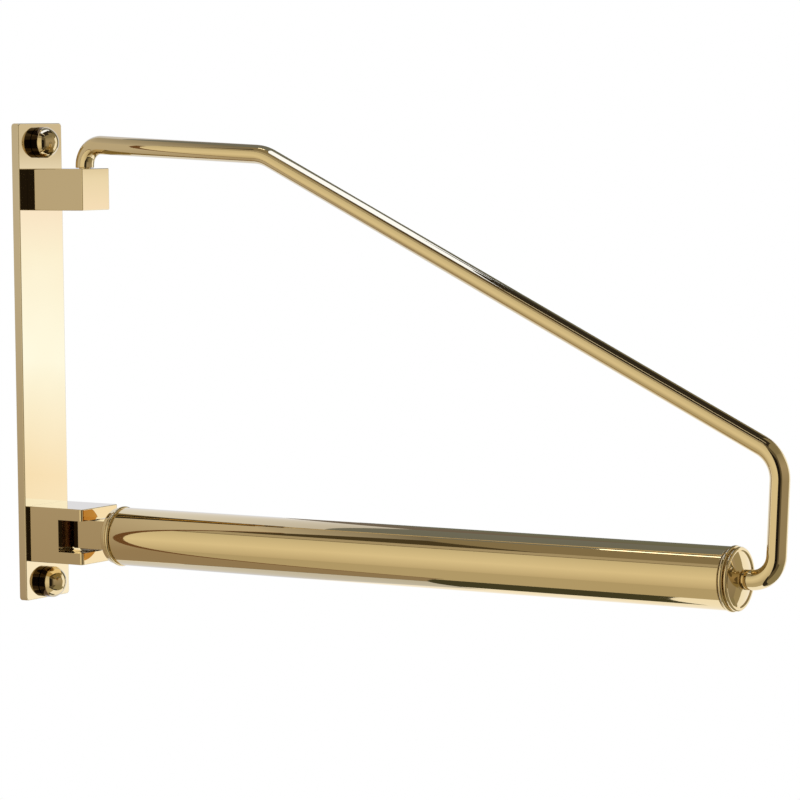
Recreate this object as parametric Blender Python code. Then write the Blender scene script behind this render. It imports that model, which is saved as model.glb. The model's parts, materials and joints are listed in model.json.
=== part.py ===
# Wall-mounted swing-arm clothes rail: a flat wall plate carries an upper pivot block and a lower hinge fork,
# and an arm made of a round rail, a turned hinge root, an end cap and a bent support rod swings between them.
# Units are metres, +Z is up, the wall is the plane y = 0 and the arm stands out along -Y.
# The origin is the middle of the plate's back face.

import math

import bmesh
import bpy
from mathutils import Matrix, Vector

MM = 0.001

# Clearance between pieces that touch, and extra depth below a screw or a pin
GAP = 0.3 * MM
HOLE_SPARE = 0.7 * MM

# Wall plate
PLATE_WIDTH = 30.0 * MM
PLATE_THICKNESS = 4.0 * MM
PLATE_LENGTH = 208.0 * MM
PLATE_CORNER_RADIUS = 1.6 * MM
EDGE_ROUND = 0.4 * MM

# Vertical swing axis, measured from the wall
HINGE_REACH = 28.3 * MM

# Wall fixings: a flanged collar through the plate for the wall screw, under a domed cap
CAP_DIAMETER = 13.5 * MM
CAP_SIDE_HEIGHT = 3.3 * MM
CAP_CROWN_HEIGHT = 4.8 * MM
CAP_TO_PLATE_TOP = 1.65 * MM
CAP_TO_PLATE_BOTTOM = 0.25 * MM
COLLAR_DIAMETER = 8.4 * MM
COLLAR_BORE_DIAMETER = 5.0 * MM
COLLAR_FLANGE_DIAMETER = 11.0 * MM
COLLAR_FLANGE_THICKNESS = 1.0 * MM
COLLAR_PROUD = 2.4 * MM

# Countersunk screws that hold the block and the fork from behind the plate
SCREW_DIAMETER = 4.0 * MM
SCREW_HEAD_DIAMETER = 7.6 * MM
SCREW_GRIP = 7.5 * MM
SCREW_HEAD_RECESS = 0.3 * MM
SCREW_SOCKET_WIDTH = 2.5 * MM
SCREW_SOCKET_DEPTH = 1.2 * MM

# Upper block, with a bushed hole for the support rod's pivot
BLOCK_WIDTH = 19.0 * MM
BLOCK_HEIGHT = 18.0 * MM
BLOCK_NOSE = 5.8 * MM
BLOCK_TO_CAP = 4.55 * MM
BLOCK_SCREW_LAND = 1.4 * MM
BUSH_WALL = 0.7 * MM
BUSH_DEPTH = 13.0 * MM

# Hinge fork: a block with a slot through it from side to side
FORK_WIDTH = 26.0 * MM
FORK_HEIGHT = 24.2 * MM
FORK_NOSE = 5.2 * MM
FORK_TO_CAP = 3.45 * MM
FORK_CORNER_RADIUS = 1.4 * MM
FORK_SCREW_INSET = 3.6 * MM
SLOT_HEIGHT = 14.0 * MM

# Hinge pin: a headed pin put in from below, with a hexagon socket
PIN_DIAMETER = 5.0 * MM
PIN_HEAD_DIAMETER = 8.0 * MM
PIN_HEAD_HEIGHT = 2.4 * MM
PIN_HEAD_RECESS = 0.3 * MM
PIN_TOP_SEAT = 3.2 * MM
PIN_SOCKET_WIDTH = 3.0 * MM
PIN_SOCKET_DEPTH = 1.6 * MM

# Hinge root: a square tongue, a shoulder that clears the fork's corners, and a plug in the rail
TONGUE_WIDTH = 12.0 * MM
TONGUE_SWING_RADIUS = 7.5 * MM
TONGUE_EDGE_ROUND = 0.6 * MM
TONGUE_BUSH_WALL = 0.9 * MM
WASHER_THICKNESS = 0.7 * MM
WASHER_INSET = 0.4 * MM
SWING_CLEARANCE = 0.8 * MM
SHOULDER_THICKNESS = 2.1 * MM
SHOULDER_STEP = 0.4 * MM
ROOT_PLUG_LENGTH = 28.0 * MM
PLUG_CHAMFER = 0.9 * MM

# Rail
RAIL_DIAMETER = 25.0 * MM
RAIL_WALL = 1.2 * MM
RAIL_LENGTH = 292.5 * MM
RAIL_END_ROUND = 0.3 * MM

# Trim rings, one at each end of the rail: a rounded bead and a narrow neck
RING_PROUD = 0.5 * MM
RING_BEAD_WIDTH = 1.8 * MM
RING_BEAD_HEIGHT = 0.9 * MM
ROOT_NECK_LENGTH = 0.8 * MM
END_NECK_LENGTH = 0.2 * MM
RING_NECK_WALL = 0.5 * MM

# End cap: a rounded rim and a shallow dome outside, a hollow plug inside
CAP_RIM_PROUD = 0.1 * MM
CAP_RIM_WIDTH = 1.4 * MM
CAP_RIM_BAND = 1.7 * MM
CAP_DOME_HEIGHT = 1.9 * MM
CAP_LIP = 0.4 * MM
CAP_WEB = 4.0 * MM
CAP_PLUG_LENGTH = 20.0 * MM

# Support rod: a leg on the upper block, a nearly level run, a slope, a front run and a foot
ROD_DIAMETER = 8.0 * MM
ROD_PIVOT_STEP = 1.5 * MM
ROD_PIVOT_LENGTH = 13.0 * MM
ROD_STUD_STEP = 1.0 * MM
ROD_STEP_LENGTH = 0.1 * MM
ROD_LEG_STRAIGHT = 1.4 * MM
ROD_TOP_BEND_RADIUS = 8.8 * MM
ROD_TOP_LENGTH = 94.2 * MM
ROD_TOP_FALL = 4.9 * MM
ROD_KNEE_BEND_RADIUS = 20.0 * MM
ROD_NOSE_RISE = 48.2 * MM
ROD_NOSE_LEAN = 2.4 * MM
ROD_NOSE_BEND_RADIUS = 14.0 * MM
ROD_FOOT_STRAIGHT = 2.6 * MM
ROD_FOOT_BEND_RADIUS = 10.5 * MM

# Nut on the rod's stud, inside the end cap
NUT_WIDTH = 10.0 * MM
NUT_THICKNESS = 5.0 * MM
NUT_ROOM = 1.7 * MM
STUD_PROUD = 1.5 * MM

# Fineness of round forms
RAIL_SIDES = 56
FINE_SIDES = 40
SMALL_SIDES = 20
HEX_SIDES = 6
ROD_BEVEL_RESOLUTION = 8
EDGE_SEGMENTS = 2
BEAD_STEPS = 6
RIM_STEPS = 5
DOME_STEPS = 7
CORNER_STEP = math.radians(30.0)
BEND_STEP = math.radians(10.0)
SMOOTH_ANGLE = math.radians(35.0)
MERGE_DISTANCE = 0.002 * MM

# Places worked out from the driving sizes
HINGE_Y = -HINGE_REACH
SEAT_Y = -PLATE_THICKNESS - GAP
FIXING_TOP_Z = PLATE_LENGTH / 2 - CAP_TO_PLATE_TOP - CAP_DIAMETER / 2
FIXING_BOTTOM_Z = -PLATE_LENGTH / 2 + CAP_TO_PLATE_BOTTOM + CAP_DIAMETER / 2
BLOCK_TOP = FIXING_TOP_Z - CAP_DIAMETER / 2 - BLOCK_TO_CAP
BLOCK_Z = BLOCK_TOP - BLOCK_HEIGHT / 2
FORK_BOTTOM = FIXING_BOTTOM_Z + CAP_DIAMETER / 2 + FORK_TO_CAP
RAIL_Z = FORK_BOTTOM + FORK_HEIGHT / 2
SLOT_BOTTOM = RAIL_Z - SLOT_HEIGHT / 2
SLOT_TOP = RAIL_Z + SLOT_HEIGHT / 2
SLOT_REAR = HINGE_Y + TONGUE_SWING_RADIUS + GAP
TONGUE_BOTTOM = SLOT_BOTTOM + WASHER_THICKNESS + 2 * GAP
TONGUE_TOP = SLOT_TOP - GAP
FORK_CORNER_REACH = (math.hypot(FORK_WIDTH / 2 - FORK_CORNER_RADIUS, FORK_NOSE - FORK_CORNER_RADIUS)
                     + FORK_CORNER_RADIUS)
SHOULDER_BACK = HINGE_REACH + FORK_CORNER_REACH + SWING_CLEARANCE
SHOULDER_DIAMETER = RAIL_DIAMETER - 2 * SHOULDER_STEP
PLUG_DIAMETER = RAIL_DIAMETER - 2 * RAIL_WALL - 2 * GAP
RING_START = SHOULDER_BACK + SHOULDER_THICKNESS + GAP
RAIL_START = RING_START + RING_BEAD_WIDTH + ROOT_NECK_LENGTH + GAP
RAIL_END = RAIL_START + RAIL_LENGTH
END_RING_START = RAIL_END + GAP
CAP_START = END_RING_START + RING_BEAD_WIDTH + END_NECK_LENGTH + GAP
CAP_FACE = CAP_START + CAP_RIM_WIDTH
CAP_APEX = CAP_FACE - CAP_LIP + CAP_DOME_HEIGHT
CAP_RIM_DIAMETER = RAIL_DIAMETER + 2 * CAP_RIM_PROUD
CAP_DOME_DIAMETER = CAP_RIM_DIAMETER - 2 * CAP_RIM_BAND
ROD_PIVOT_DIAMETER = ROD_DIAMETER - 2 * ROD_PIVOT_STEP
ROD_STUD_DIAMETER = ROD_DIAMETER - 2 * ROD_STUD_STEP
ROD_SHOULDER_Z = BLOCK_TOP + GAP
ROD_TOP_Z = ROD_SHOULDER_Z + ROD_LEG_STRAIGHT + ROD_TOP_BEND_RADIUS
ROD_FOOT_REACH = CAP_APEX + GAP + ROD_FOOT_STRAIGHT + ROD_FOOT_BEND_RADIUS

# Finishes: roughness from mirror to matt, whether metal, and colours
POLISHED = 0.06
PLATED = 0.3
TURNED = 0.35
MOULDED = 0.5
METAL = 1.0
PLASTIC = 0.0
GOLD = (0.83, 0.66, 0.36)
PALE_GOLD = (0.86, 0.72, 0.44)
NYLON = (0.82, 0.80, 0.74)
BRONZE = (0.62, 0.40, 0.20)
STEEL = (0.62, 0.62, 0.63)


def clear_scene():
    for old in list(bpy.data.objects):
        bpy.data.objects.remove(old)


def make_material(name, colour, roughness, metallic):
    material = bpy.data.materials.new(name)
    material.use_nodes = True
    shader = material.node_tree.nodes["Principled BSDF"]
    shader.inputs["Base Color"].default_value = (*colour, 1.0)
    shader.inputs["Roughness"].default_value = roughness
    shader.inputs["Metallic"].default_value = metallic
    return material


def add_object(name, bm, material):
    """Turns a finished bmesh into a named object with its faces pointing out."""
    bmesh.ops.recalc_face_normals(bm, faces=bm.faces)
    mesh = bpy.data.meshes.new(name)
    bm.to_mesh(mesh)
    bm.free()
    mesh.shade_smooth()
    mesh.set_sharp_from_angle(angle=SMOOTH_ANGLE)
    mesh.materials.append(material)
    piece = bpy.data.objects.new(name, mesh)
    bpy.context.scene.collection.objects.link(piece)
    return piece


def hide_cutter(piece):
    piece.hide_render = True
    piece.display_type = "WIRE"
    return piece


def combine(piece, tool, operation):
    """Cuts the tool away from the piece, or joins it on."""
    step = piece.modifiers.new(tool.name, "BOOLEAN")
    step.operation = operation
    step.solver = "EXACT"
    step.object = hide_cutter(tool)


def round_edges(piece, width):
    step = piece.modifiers.new("rounded edges", "BEVEL")
    step.width = width
    step.segments = EDGE_SEGMENTS
    step.limit_method = "ANGLE"
    step.use_clamp_overlap = True


def box(name, low, high, material):
    bm = bmesh.new()
    bmesh.ops.create_cube(bm, size=1.0)
    low, high = Vector(low), Vector(high)
    size = high - low
    bmesh.ops.scale(bm, vec=size, verts=bm.verts)
    bmesh.ops.translate(bm, vec=(low + high) / 2, verts=bm.verts)
    return add_object(name, bm, material)


def turned(name, profile, centre, axis, material, sides=FINE_SIDES):
    """Spins a profile of (distance along the axis, radius) points once round the axis."""
    centre, axis = Vector(centre), Vector(axis)
    bm = bmesh.new()
    rim = [bm.verts.new(centre + axis * along + Vector((radius, 0, 0))) for along, radius in profile]
    touches_axis = profile[0][1] == 0 and profile[-1][1] == 0
    lines = [bm.edges.new(pair) for pair in zip(rim, rim[1:])]
    if not touches_axis:
        lines.append(bm.edges.new((rim[-1], rim[0])))
    bmesh.ops.spin(bm, geom=rim + lines, cent=centre, axis=axis, angle=math.tau, steps=sides)
    bmesh.ops.remove_doubles(bm, verts=bm.verts, dist=MERGE_DISTANCE)
    bmesh.ops.dissolve_degenerate(bm, edges=bm.edges, dist=MERGE_DISTANCE)
    return add_object(name, bm, material)


def prism(name, outline, low, high, material):
    """Extrudes an outline of (x, y) points from height low to height high."""
    bm = bmesh.new()
    face = bm.faces.new([bm.verts.new((x, y, low)) for x, y in outline])
    grown = bmesh.ops.extrude_face_region(bm, geom=[face])
    top = [item for item in grown["geom"] if isinstance(item, bmesh.types.BMVert)]
    bmesh.ops.translate(bm, vec=(0, 0, high - low), verts=top)
    return add_object(name, bm, material)


def peg(name, radius, low, high, centre, axis, material, sides=SMALL_SIDES):
    """A plain round bar from low to high along the axis."""
    return turned(name, [(low, 0), (low, radius), (high, radius), (high, 0)], centre, axis, material, sides)


def hexagon(name, width, low, high, centre, axis, material):
    """A six-sided bar of the given width across its flats."""
    return peg(name, width / math.sqrt(3), low, high, centre, axis, material, HEX_SIDES)


def arc(centre_along, centre_radius, radius, start, end, count):
    """Profile points on a circular arc; angles are measured from the outward direction towards +axis."""
    points = []
    for i in range(count + 1):
        angle = start + (end - start) * i / count
        points.append((centre_along + radius * math.sin(angle), centre_radius + radius * math.cos(angle)))
    return points


def dome(base_along, base_radius, height):
    """Profile points of a shallow spherical crown, from its rim to its apex on the axis."""
    sphere = (base_radius ** 2 + height ** 2) / (2 * height)
    half = math.asin(base_radius / sphere)
    points = []
    for i in range(DOME_STEPS):
        angle = half * (1 - i / DOME_STEPS)
        rise = height - sphere * (1 - math.cos(angle))
        points.append((base_along + rise, sphere * math.sin(angle)))
    points.append((base_along + height, 0))
    return points


OUT = Vector((0, -1, 0))
UP = Vector((0, 0, 1))
RAIL_AXIS = Vector((0, 0, RAIL_Z))


def plate_outline():
    """The plate's front outline as (x, z) points with rounded corners."""
    quarter = math.pi / 2
    points = []
    for turn, (side, end) in enumerate([(1, 1), (-1, 1), (-1, -1), (1, -1)]):
        middle_x = side * (PLATE_WIDTH / 2 - PLATE_CORNER_RADIUS)
        middle_z = end * (PLATE_LENGTH / 2 - PLATE_CORNER_RADIUS)
        steps = round(quarter / CORNER_STEP)
        for i in range(steps + 1):
            angle = quarter * (turn + i / steps)
            points.append((middle_x + PLATE_CORNER_RADIUS * math.cos(angle),
                           middle_z + PLATE_CORNER_RADIUS * math.sin(angle)))
    return points


def screw_places():
    """Name and height of each countersunk screw behind the plate."""
    block_step = (SCREW_HEAD_DIAMETER + BLOCK_SCREW_LAND) / 2
    fork_step = FORK_HEIGHT / 2 - FORK_SCREW_INSET
    return [("upper_block_screw_top", BLOCK_Z + block_step),
            ("upper_block_screw_bottom", BLOCK_Z - block_step),
            ("fork_screw_top", RAIL_Z + fork_step), ("fork_screw_bottom", RAIL_Z - fork_step)]


def screw_profile(spare):
    """A countersunk screw's profile from its head outwards; spare widens it into the hole that it fits."""
    head = SCREW_HEAD_DIAMETER / 2 + spare
    shank = SCREW_DIAMETER / 2 + spare
    start = SCREW_HEAD_RECESS if spare == 0 else -HOLE_SPARE
    rim = SCREW_HEAD_RECESS + GAP
    end = PLATE_THICKNESS + GAP + SCREW_GRIP + (HOLE_SPARE if spare else 0)
    return [(start, 0), (start, head), (rim, head), (rim + head - shank, shank), (end, shank), (end, 0)]


def build_wall_plate(gold):
    bm = bmesh.new()
    front = bm.faces.new([bm.verts.new((x, -PLATE_THICKNESS, z)) for x, z in plate_outline()])
    grown = bmesh.ops.extrude_face_region(bm, geom=[front])
    back = [item for item in grown["geom"] if isinstance(item, bmesh.types.BMVert)]
    bmesh.ops.translate(bm, vec=(0, PLATE_THICKNESS, 0), verts=back)
    plate = add_object("wall_plate", bm, gold)
    round_edges(plate, EDGE_ROUND)
    for name, height in screw_places():
        hole = turned(name + "_hole", screw_profile(GAP), (0, 0, height), OUT, gold, SMALL_SIDES)
        combine(plate, hole, "DIFFERENCE")
    for name, height in (("top", FIXING_TOP_Z), ("bottom", FIXING_BOTTOM_Z)):
        bore = COLLAR_DIAMETER / 2 + GAP
        flange = COLLAR_FLANGE_DIAMETER / 2 + GAP
        step = COLLAR_FLANGE_THICKNESS + 2 * GAP
        profile = [(-HOLE_SPARE, 0), (-HOLE_SPARE, flange), (step, flange), (step, bore),
                   (PLATE_THICKNESS + HOLE_SPARE, bore), (PLATE_THICKNESS + HOLE_SPARE, 0)]
        hole = turned("fixing_hole_" + name, profile, (0, 0, height), OUT, gold, SMALL_SIDES)
        combine(plate, hole, "DIFFERENCE")


def build_plate_screws(steel):
    for name, height in screw_places():
        screw = turned(name, screw_profile(0), (0, 0, height), OUT, steel, SMALL_SIDES)
        socket = hexagon(name + "_socket", SCREW_SOCKET_WIDTH, -HOLE_SPARE,
                         SCREW_HEAD_RECESS + SCREW_SOCKET_DEPTH, (0, 0, height), OUT, steel)
        combine(screw, socket, "DIFFERENCE")


def build_wall_fixings(gold, steel):
    for name, height in (("top", FIXING_TOP_Z), ("bottom", FIXING_BOTTOM_Z)):
        centre = (0, 0, height)
        bore = COLLAR_BORE_DIAMETER / 2
        sleeve = COLLAR_DIAMETER / 2
        flange = COLLAR_FLANGE_DIAMETER / 2
        tip = PLATE_THICKNESS + COLLAR_PROUD
        sink = (sleeve - bore) / 2
        profile = [(GAP, bore), (GAP, flange), (GAP + COLLAR_FLANGE_THICKNESS, flange),
                   (GAP + COLLAR_FLANGE_THICKNESS, sleeve), (tip, sleeve), (tip, bore + sink),
                   (tip - sink, bore)]
        turned("cap_collar_" + name, profile, centre, OUT, steel, SMALL_SIDES)
        base = PLATE_THICKNESS + GAP
        rim = CAP_DIAMETER / 2
        pocket = sleeve + GAP
        roof = tip + GAP
        profile = [(roof, 0), (roof, pocket), (base, pocket), (base, rim)]
        profile += dome(base + CAP_SIDE_HEIGHT, rim, CAP_CROWN_HEIGHT)
        turned("screw_cap_" + name, profile, centre, OUT, gold)


def build_upper_block(gold, nylon):
    front = HINGE_Y - BLOCK_NOSE
    block = box("upper_block", (-BLOCK_WIDTH / 2, front, BLOCK_Z - BLOCK_HEIGHT / 2),
                (BLOCK_WIDTH / 2, SEAT_Y, BLOCK_TOP), gold)
    round_edges(block, EDGE_ROUND)
    axis_foot = (0, HINGE_Y, BLOCK_TOP)
    inner = ROD_PIVOT_DIAMETER / 2 + GAP
    outer = inner + BUSH_WALL
    floor = BUSH_DEPTH + 2 * GAP
    bore = peg("upper_block_bore", outer + GAP, -floor, HOLE_SPARE, axis_foot, UP, gold)
    combine(block, bore, "DIFFERENCE")
    for name, height in screw_places()[:2]:
        hole = turned(name + "_tapping", screw_profile(GAP), (0, 0, height), OUT, gold, SMALL_SIDES)
        combine(block, hole, "DIFFERENCE")
    sleeve = [(GAP - floor, inner), (GAP - floor, outer), (-GAP, outer), (-GAP, inner)]
    turned("pivot_bush", sleeve, axis_foot, UP, nylon, SMALL_SIDES)


def fork_outline():
    """The fork from above: square at the plate, with its two front corners rounded."""
    front = HINGE_Y - FORK_NOSE
    side = FORK_WIDTH / 2
    points = [(side, SEAT_Y), (-side, SEAT_Y)]
    for hand, first in ((-1, -math.pi / 2), (1, 0.0)):
        for i in range(RIM_STEPS + 1):
            angle = first + math.pi / 2 * i / RIM_STEPS
            points.append((hand * (side - FORK_CORNER_RADIUS) + FORK_CORNER_RADIUS * math.sin(angle),
                           front + FORK_CORNER_RADIUS - FORK_CORNER_RADIUS * math.cos(angle)))
    return points


def build_hinge_fork(gold):
    front = HINGE_Y - FORK_NOSE
    side = FORK_WIDTH / 2
    fork = prism("hinge_fork", fork_outline(), FORK_BOTTOM, FORK_BOTTOM + FORK_HEIGHT, gold)
    round_edges(fork, EDGE_ROUND)
    for name, height in screw_places()[2:]:
        hole = turned(name + "_tapping", screw_profile(GAP), (0, 0, height), OUT, gold, SMALL_SIDES)
        combine(fork, hole, "DIFFERENCE")
    slot = box("fork_slot", (-side - HOLE_SPARE, front - HOLE_SPARE, SLOT_BOTTOM),
               (side + HOLE_SPARE, SLOT_REAR, SLOT_TOP), gold)
    combine(fork, slot, "DIFFERENCE")
    axis_foot = (0, HINGE_Y, FORK_BOTTOM)
    pin = PIN_DIAMETER / 2 + GAP
    head = PIN_HEAD_DIAMETER / 2 + GAP
    head_top = PIN_HEAD_RECESS + PIN_HEAD_HEIGHT + GAP
    pin_top = SLOT_TOP - FORK_BOTTOM + PIN_TOP_SEAT + GAP
    profile = [(-HOLE_SPARE, 0), (-HOLE_SPARE, head), (head_top, head), (head_top, pin),
               (pin_top, pin), (pin_top, 0)]
    combine(fork, turned("pin_hole", profile, axis_foot, UP, gold, SMALL_SIDES), "DIFFERENCE")


def build_hinge_pin(steel, nylon):
    axis_foot = (0, HINGE_Y, FORK_BOTTOM)
    head_top = PIN_HEAD_RECESS + PIN_HEAD_HEIGHT
    pin_top = SLOT_TOP - FORK_BOTTOM + PIN_TOP_SEAT
    head = PIN_HEAD_DIAMETER / 2
    shank = PIN_DIAMETER / 2
    profile = [(PIN_HEAD_RECESS, 0), (PIN_HEAD_RECESS, head), (head_top, head), (head_top, shank),
               (pin_top, shank), (pin_top, 0)]
    pin = turned("hinge_pin", profile, axis_foot, UP, steel, SMALL_SIDES)
    socket = hexagon("hinge_pin_socket", PIN_SOCKET_WIDTH, -HOLE_SPARE, PIN_HEAD_RECESS + PIN_SOCKET_DEPTH,
                     axis_foot, UP, steel)
    combine(pin, socket, "DIFFERENCE")
    washer_bottom = SLOT_BOTTOM + GAP - FORK_BOTTOM
    washer_top = washer_bottom + WASHER_THICKNESS
    hole = shank + GAP
    rim = FORK_NOSE - WASHER_INSET
    profile = [(washer_bottom, hole), (washer_bottom, rim), (washer_top, rim), (washer_top, hole)]
    turned("thrust_washer", profile, axis_foot, UP, nylon)


def tongue_outline():
    """The tongue from above: straight sides from the shoulder, and an end rounded about the swing axis."""
    half = TONGUE_WIDTH / 2
    front = -(SHOULDER_BACK + SHOULDER_THICKNESS / 2)
    first = math.acos(half / TONGUE_SWING_RADIUS)
    count = SMALL_SIDES // 2
    points = [(half, front)]
    for i in range(count + 1):
        angle = first + (math.pi - 2 * first) * i / count
        points.append((TONGUE_SWING_RADIUS * math.cos(angle),
                       HINGE_Y + TONGUE_SWING_RADIUS * math.sin(angle)))
    points.append((-half, front))
    return points


def build_arm_root(gold, bronze):
    tongue = prism("arm_root", tongue_outline(), TONGUE_BOTTOM, TONGUE_TOP, gold)
    round_edges(tongue, TONGUE_EDGE_ROUND)
    shoulder = SHOULDER_DIAMETER / 2
    plug = PLUG_DIAMETER / 2
    face = SHOULDER_BACK + SHOULDER_THICKNESS
    end = RING_START + ROOT_PLUG_LENGTH
    profile = [(SHOULDER_BACK, 0), (SHOULDER_BACK, shoulder), (face, shoulder), (face, plug),
               (end - PLUG_CHAMFER, plug), (end, plug - PLUG_CHAMFER), (end, 0)]
    stem = turned("arm_root_stem", profile, RAIL_AXIS, OUT, gold)
    combine(tongue, stem, "UNION")
    inner = PIN_DIAMETER / 2 + GAP
    outer = inner + TONGUE_BUSH_WALL
    axis_foot = (0, HINGE_Y, TONGUE_BOTTOM)
    tall = TONGUE_TOP - TONGUE_BOTTOM
    bore = peg("tongue_bore", outer + GAP, -HOLE_SPARE, tall + HOLE_SPARE, axis_foot, UP, gold)
    combine(tongue, bore, "DIFFERENCE")
    sleeve = [(0, inner), (0, outer), (tall, outer), (tall, inner)]
    bush = turned("tongue_bush", sleeve, axis_foot, UP, bronze, SMALL_SIDES)
    return [tongue, bush]


def ring_profile(start, neck_length):
    """A trim ring: a half-round bead and a narrow neck outside, and a plain bore over the plug."""
    bore = PLUG_DIAMETER / 2 + GAP
    neck = bore + RING_NECK_WALL
    half = RING_BEAD_WIDTH / 2
    shoulder = RAIL_DIAMETER / 2 + RING_PROUD - RING_BEAD_HEIGHT
    points = [(start, bore)]
    for i in range(BEAD_STEPS + 1):
        angle = math.pi * i / BEAD_STEPS
        points.append((start + half - half * math.cos(angle),
                       shoulder + RING_BEAD_HEIGHT * math.sin(angle)))
    end = start + RING_BEAD_WIDTH + neck_length
    points += [(start + RING_BEAD_WIDTH, neck), (end, neck), (end, bore)]
    return points


def build_rail(gold):
    outer = RAIL_DIAMETER / 2
    inner = outer - RAIL_WALL
    profile = [(RAIL_START, inner), (RAIL_START, outer - RAIL_END_ROUND),
               (RAIL_START + RAIL_END_ROUND, outer), (RAIL_END - RAIL_END_ROUND, outer),
               (RAIL_END, outer - RAIL_END_ROUND), (RAIL_END, inner)]
    tube = turned("rail_tube", profile, RAIL_AXIS, OUT, gold, RAIL_SIDES)
    root_ring = turned("root_ring", ring_profile(RING_START, ROOT_NECK_LENGTH), RAIL_AXIS, OUT, gold)
    end_ring = turned("end_ring", ring_profile(END_RING_START, END_NECK_LENGTH), RAIL_AXIS, OUT, gold)
    return [tube, root_ring, end_ring]


def build_end_cap(gold):
    rim = CAP_RIM_DIAMETER / 2
    edge = CAP_RIM_WIDTH / 2
    plug = PLUG_DIAMETER / 2
    pocket = NUT_WIDTH / math.sqrt(3) + NUT_ROOM
    inside = CAP_START - CAP_PLUG_LENGTH
    hole = ROD_STUD_DIAMETER / 2 + GAP
    boss = ROD_DIAMETER / 2
    web = CAP_START - CAP_WEB
    dome_rim = CAP_DOME_DIAMETER / 2
    profile = [(web, hole), (web, pocket), (inside, pocket), (inside, plug - PLUG_CHAMFER),
               (inside + PLUG_CHAMFER, plug), (CAP_START, plug)]
    profile += arc(CAP_START + edge, rim - edge, edge, -math.pi / 2, math.pi / 2, RIM_STEPS)
    profile += [(CAP_FACE, dome_rim + CAP_LIP), (CAP_FACE - CAP_LIP, dome_rim)]
    crown = dome(CAP_FACE - CAP_LIP, dome_rim, CAP_DOME_HEIGHT)
    profile += [point for point in crown[1:] if point[1] > boss + GAP]
    profile += [(CAP_APEX, boss), (CAP_APEX, hole)]
    return [turned("end_cap", profile, RAIL_AXIS, OUT, gold)]


def bend(before, corner, after, radius):
    """Points on the arc that rounds the corner between two straight runs."""
    back = (before - corner).normalized()
    on = (after - corner).normalized()
    turn = math.pi - back.angle(on)
    set_back = radius * math.tan(turn / 2)
    start = corner + back * set_back
    middle = corner + (back + on).normalized() * radius / math.cos(turn / 2)
    spin_axis = (start - middle).cross(-back)
    count = math.ceil(turn / BEND_STEP)
    spoke = start - middle
    return [middle + Matrix.Rotation(turn * i / count, 3, spin_axis) @ spoke for i in range(count + 1)]


def build_support_rod(gold):
    def at(reach, height):
        return Vector((0, -reach, height))

    face = CAP_APEX + GAP
    stud_end = CAP_START - CAP_WEB - GAP - NUT_THICKNESS - STUD_PROUD
    top = at(HINGE_REACH, ROD_TOP_Z)
    knee = at(HINGE_REACH + ROD_TOP_LENGTH, ROD_TOP_Z - ROD_TOP_FALL)
    nose = at(ROD_FOOT_REACH + ROD_NOSE_LEAN, RAIL_Z + ROD_NOSE_RISE)
    foot = at(ROD_FOOT_REACH, RAIL_Z)
    knots = [at(HINGE_REACH, ROD_SHOULDER_Z), top, knee, nose, foot, at(face, RAIL_Z)]
    radii = [ROD_TOP_BEND_RADIUS, ROD_KNEE_BEND_RADIUS, ROD_NOSE_BEND_RADIUS, ROD_FOOT_BEND_RADIUS]
    pivot = ROD_PIVOT_DIAMETER / ROD_DIAMETER
    stud = ROD_STUD_DIAMETER / ROD_DIAMETER
    route = [(at(HINGE_REACH, ROD_SHOULDER_Z - ROD_PIVOT_LENGTH), pivot),
             (at(HINGE_REACH, ROD_SHOULDER_Z - ROD_STEP_LENGTH), pivot), (knots[0], 1.0)]
    for before, corner, after, radius in zip(knots, knots[1:], knots[2:], radii):
        route += [(point, 1.0) for point in bend(before, corner, after, radius)]
    route += [(knots[-1], 1.0), (at(face - ROD_STEP_LENGTH, RAIL_Z), stud), (at(stud_end, RAIL_Z), stud)]
    curve = bpy.data.curves.new("support_rod", "CURVE")
    curve.dimensions = "3D"
    curve.bevel_depth = ROD_DIAMETER / 2
    curve.bevel_resolution = ROD_BEVEL_RESOLUTION
    curve.use_fill_caps = True
    spline = curve.splines.new("POLY")
    spline.points.add(len(route) - 1)
    for knot, (place, share) in zip(spline.points, route):
        knot.co = (*place, 1.0)
        knot.radius = share
    curve.materials.append(gold)
    rod = bpy.data.objects.new("support_rod", curve)
    bpy.context.scene.collection.objects.link(rod)
    return [rod]


def build_rod_nut(steel):
    seat = CAP_START - CAP_WEB - GAP
    nut = hexagon("rod_nut", NUT_WIDTH, seat - NUT_THICKNESS, seat, RAIL_AXIS, OUT, steel)
    hole = peg("rod_nut_hole", ROD_STUD_DIAMETER / 2 + GAP, seat - NUT_THICKNESS - HOLE_SPARE,
               seat + HOLE_SPARE, RAIL_AXIS, OUT, steel)
    combine(nut, hole, "DIFFERENCE")
    return [nut]


def hang_on_pivot(pieces):
    """Parents the arm's pieces to an empty on the swing axis, without moving them."""
    pivot = bpy.data.objects.new("arm_pivot", None)
    pivot.location = (0, HINGE_Y, RAIL_Z)
    bpy.context.scene.collection.objects.link(pivot)
    for piece in pieces:
        piece.parent = pivot
        piece.matrix_parent_inverse = Matrix.Translation(pivot.location).inverted()


def main():
    clear_scene()
    gold = make_material("polished gold", GOLD, POLISHED, METAL)
    pale_gold = make_material("polished pale gold", PALE_GOLD, POLISHED, METAL)
    nylon = make_material("natural nylon", NYLON, MOULDED, PLASTIC)
    bronze = make_material("bush bronze", BRONZE, TURNED, METAL)
    steel = make_material("zinc-plated steel", STEEL, PLATED, METAL)
    build_wall_plate(pale_gold)
    build_plate_screws(steel)
    build_wall_fixings(gold, steel)
    build_upper_block(pale_gold, nylon)
    build_hinge_fork(gold)
    build_hinge_pin(steel, nylon)
    arm = build_arm_root(gold, bronze)
    arm += build_rail(gold)
    arm += build_end_cap(gold)
    arm += build_support_rod(gold)
    arm += build_rod_nut(steel)
    hang_on_pivot(arm)


main()
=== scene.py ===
"""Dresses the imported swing-arm clothes rail in polished gold plating and sets it in a plain pale studio."""

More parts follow.
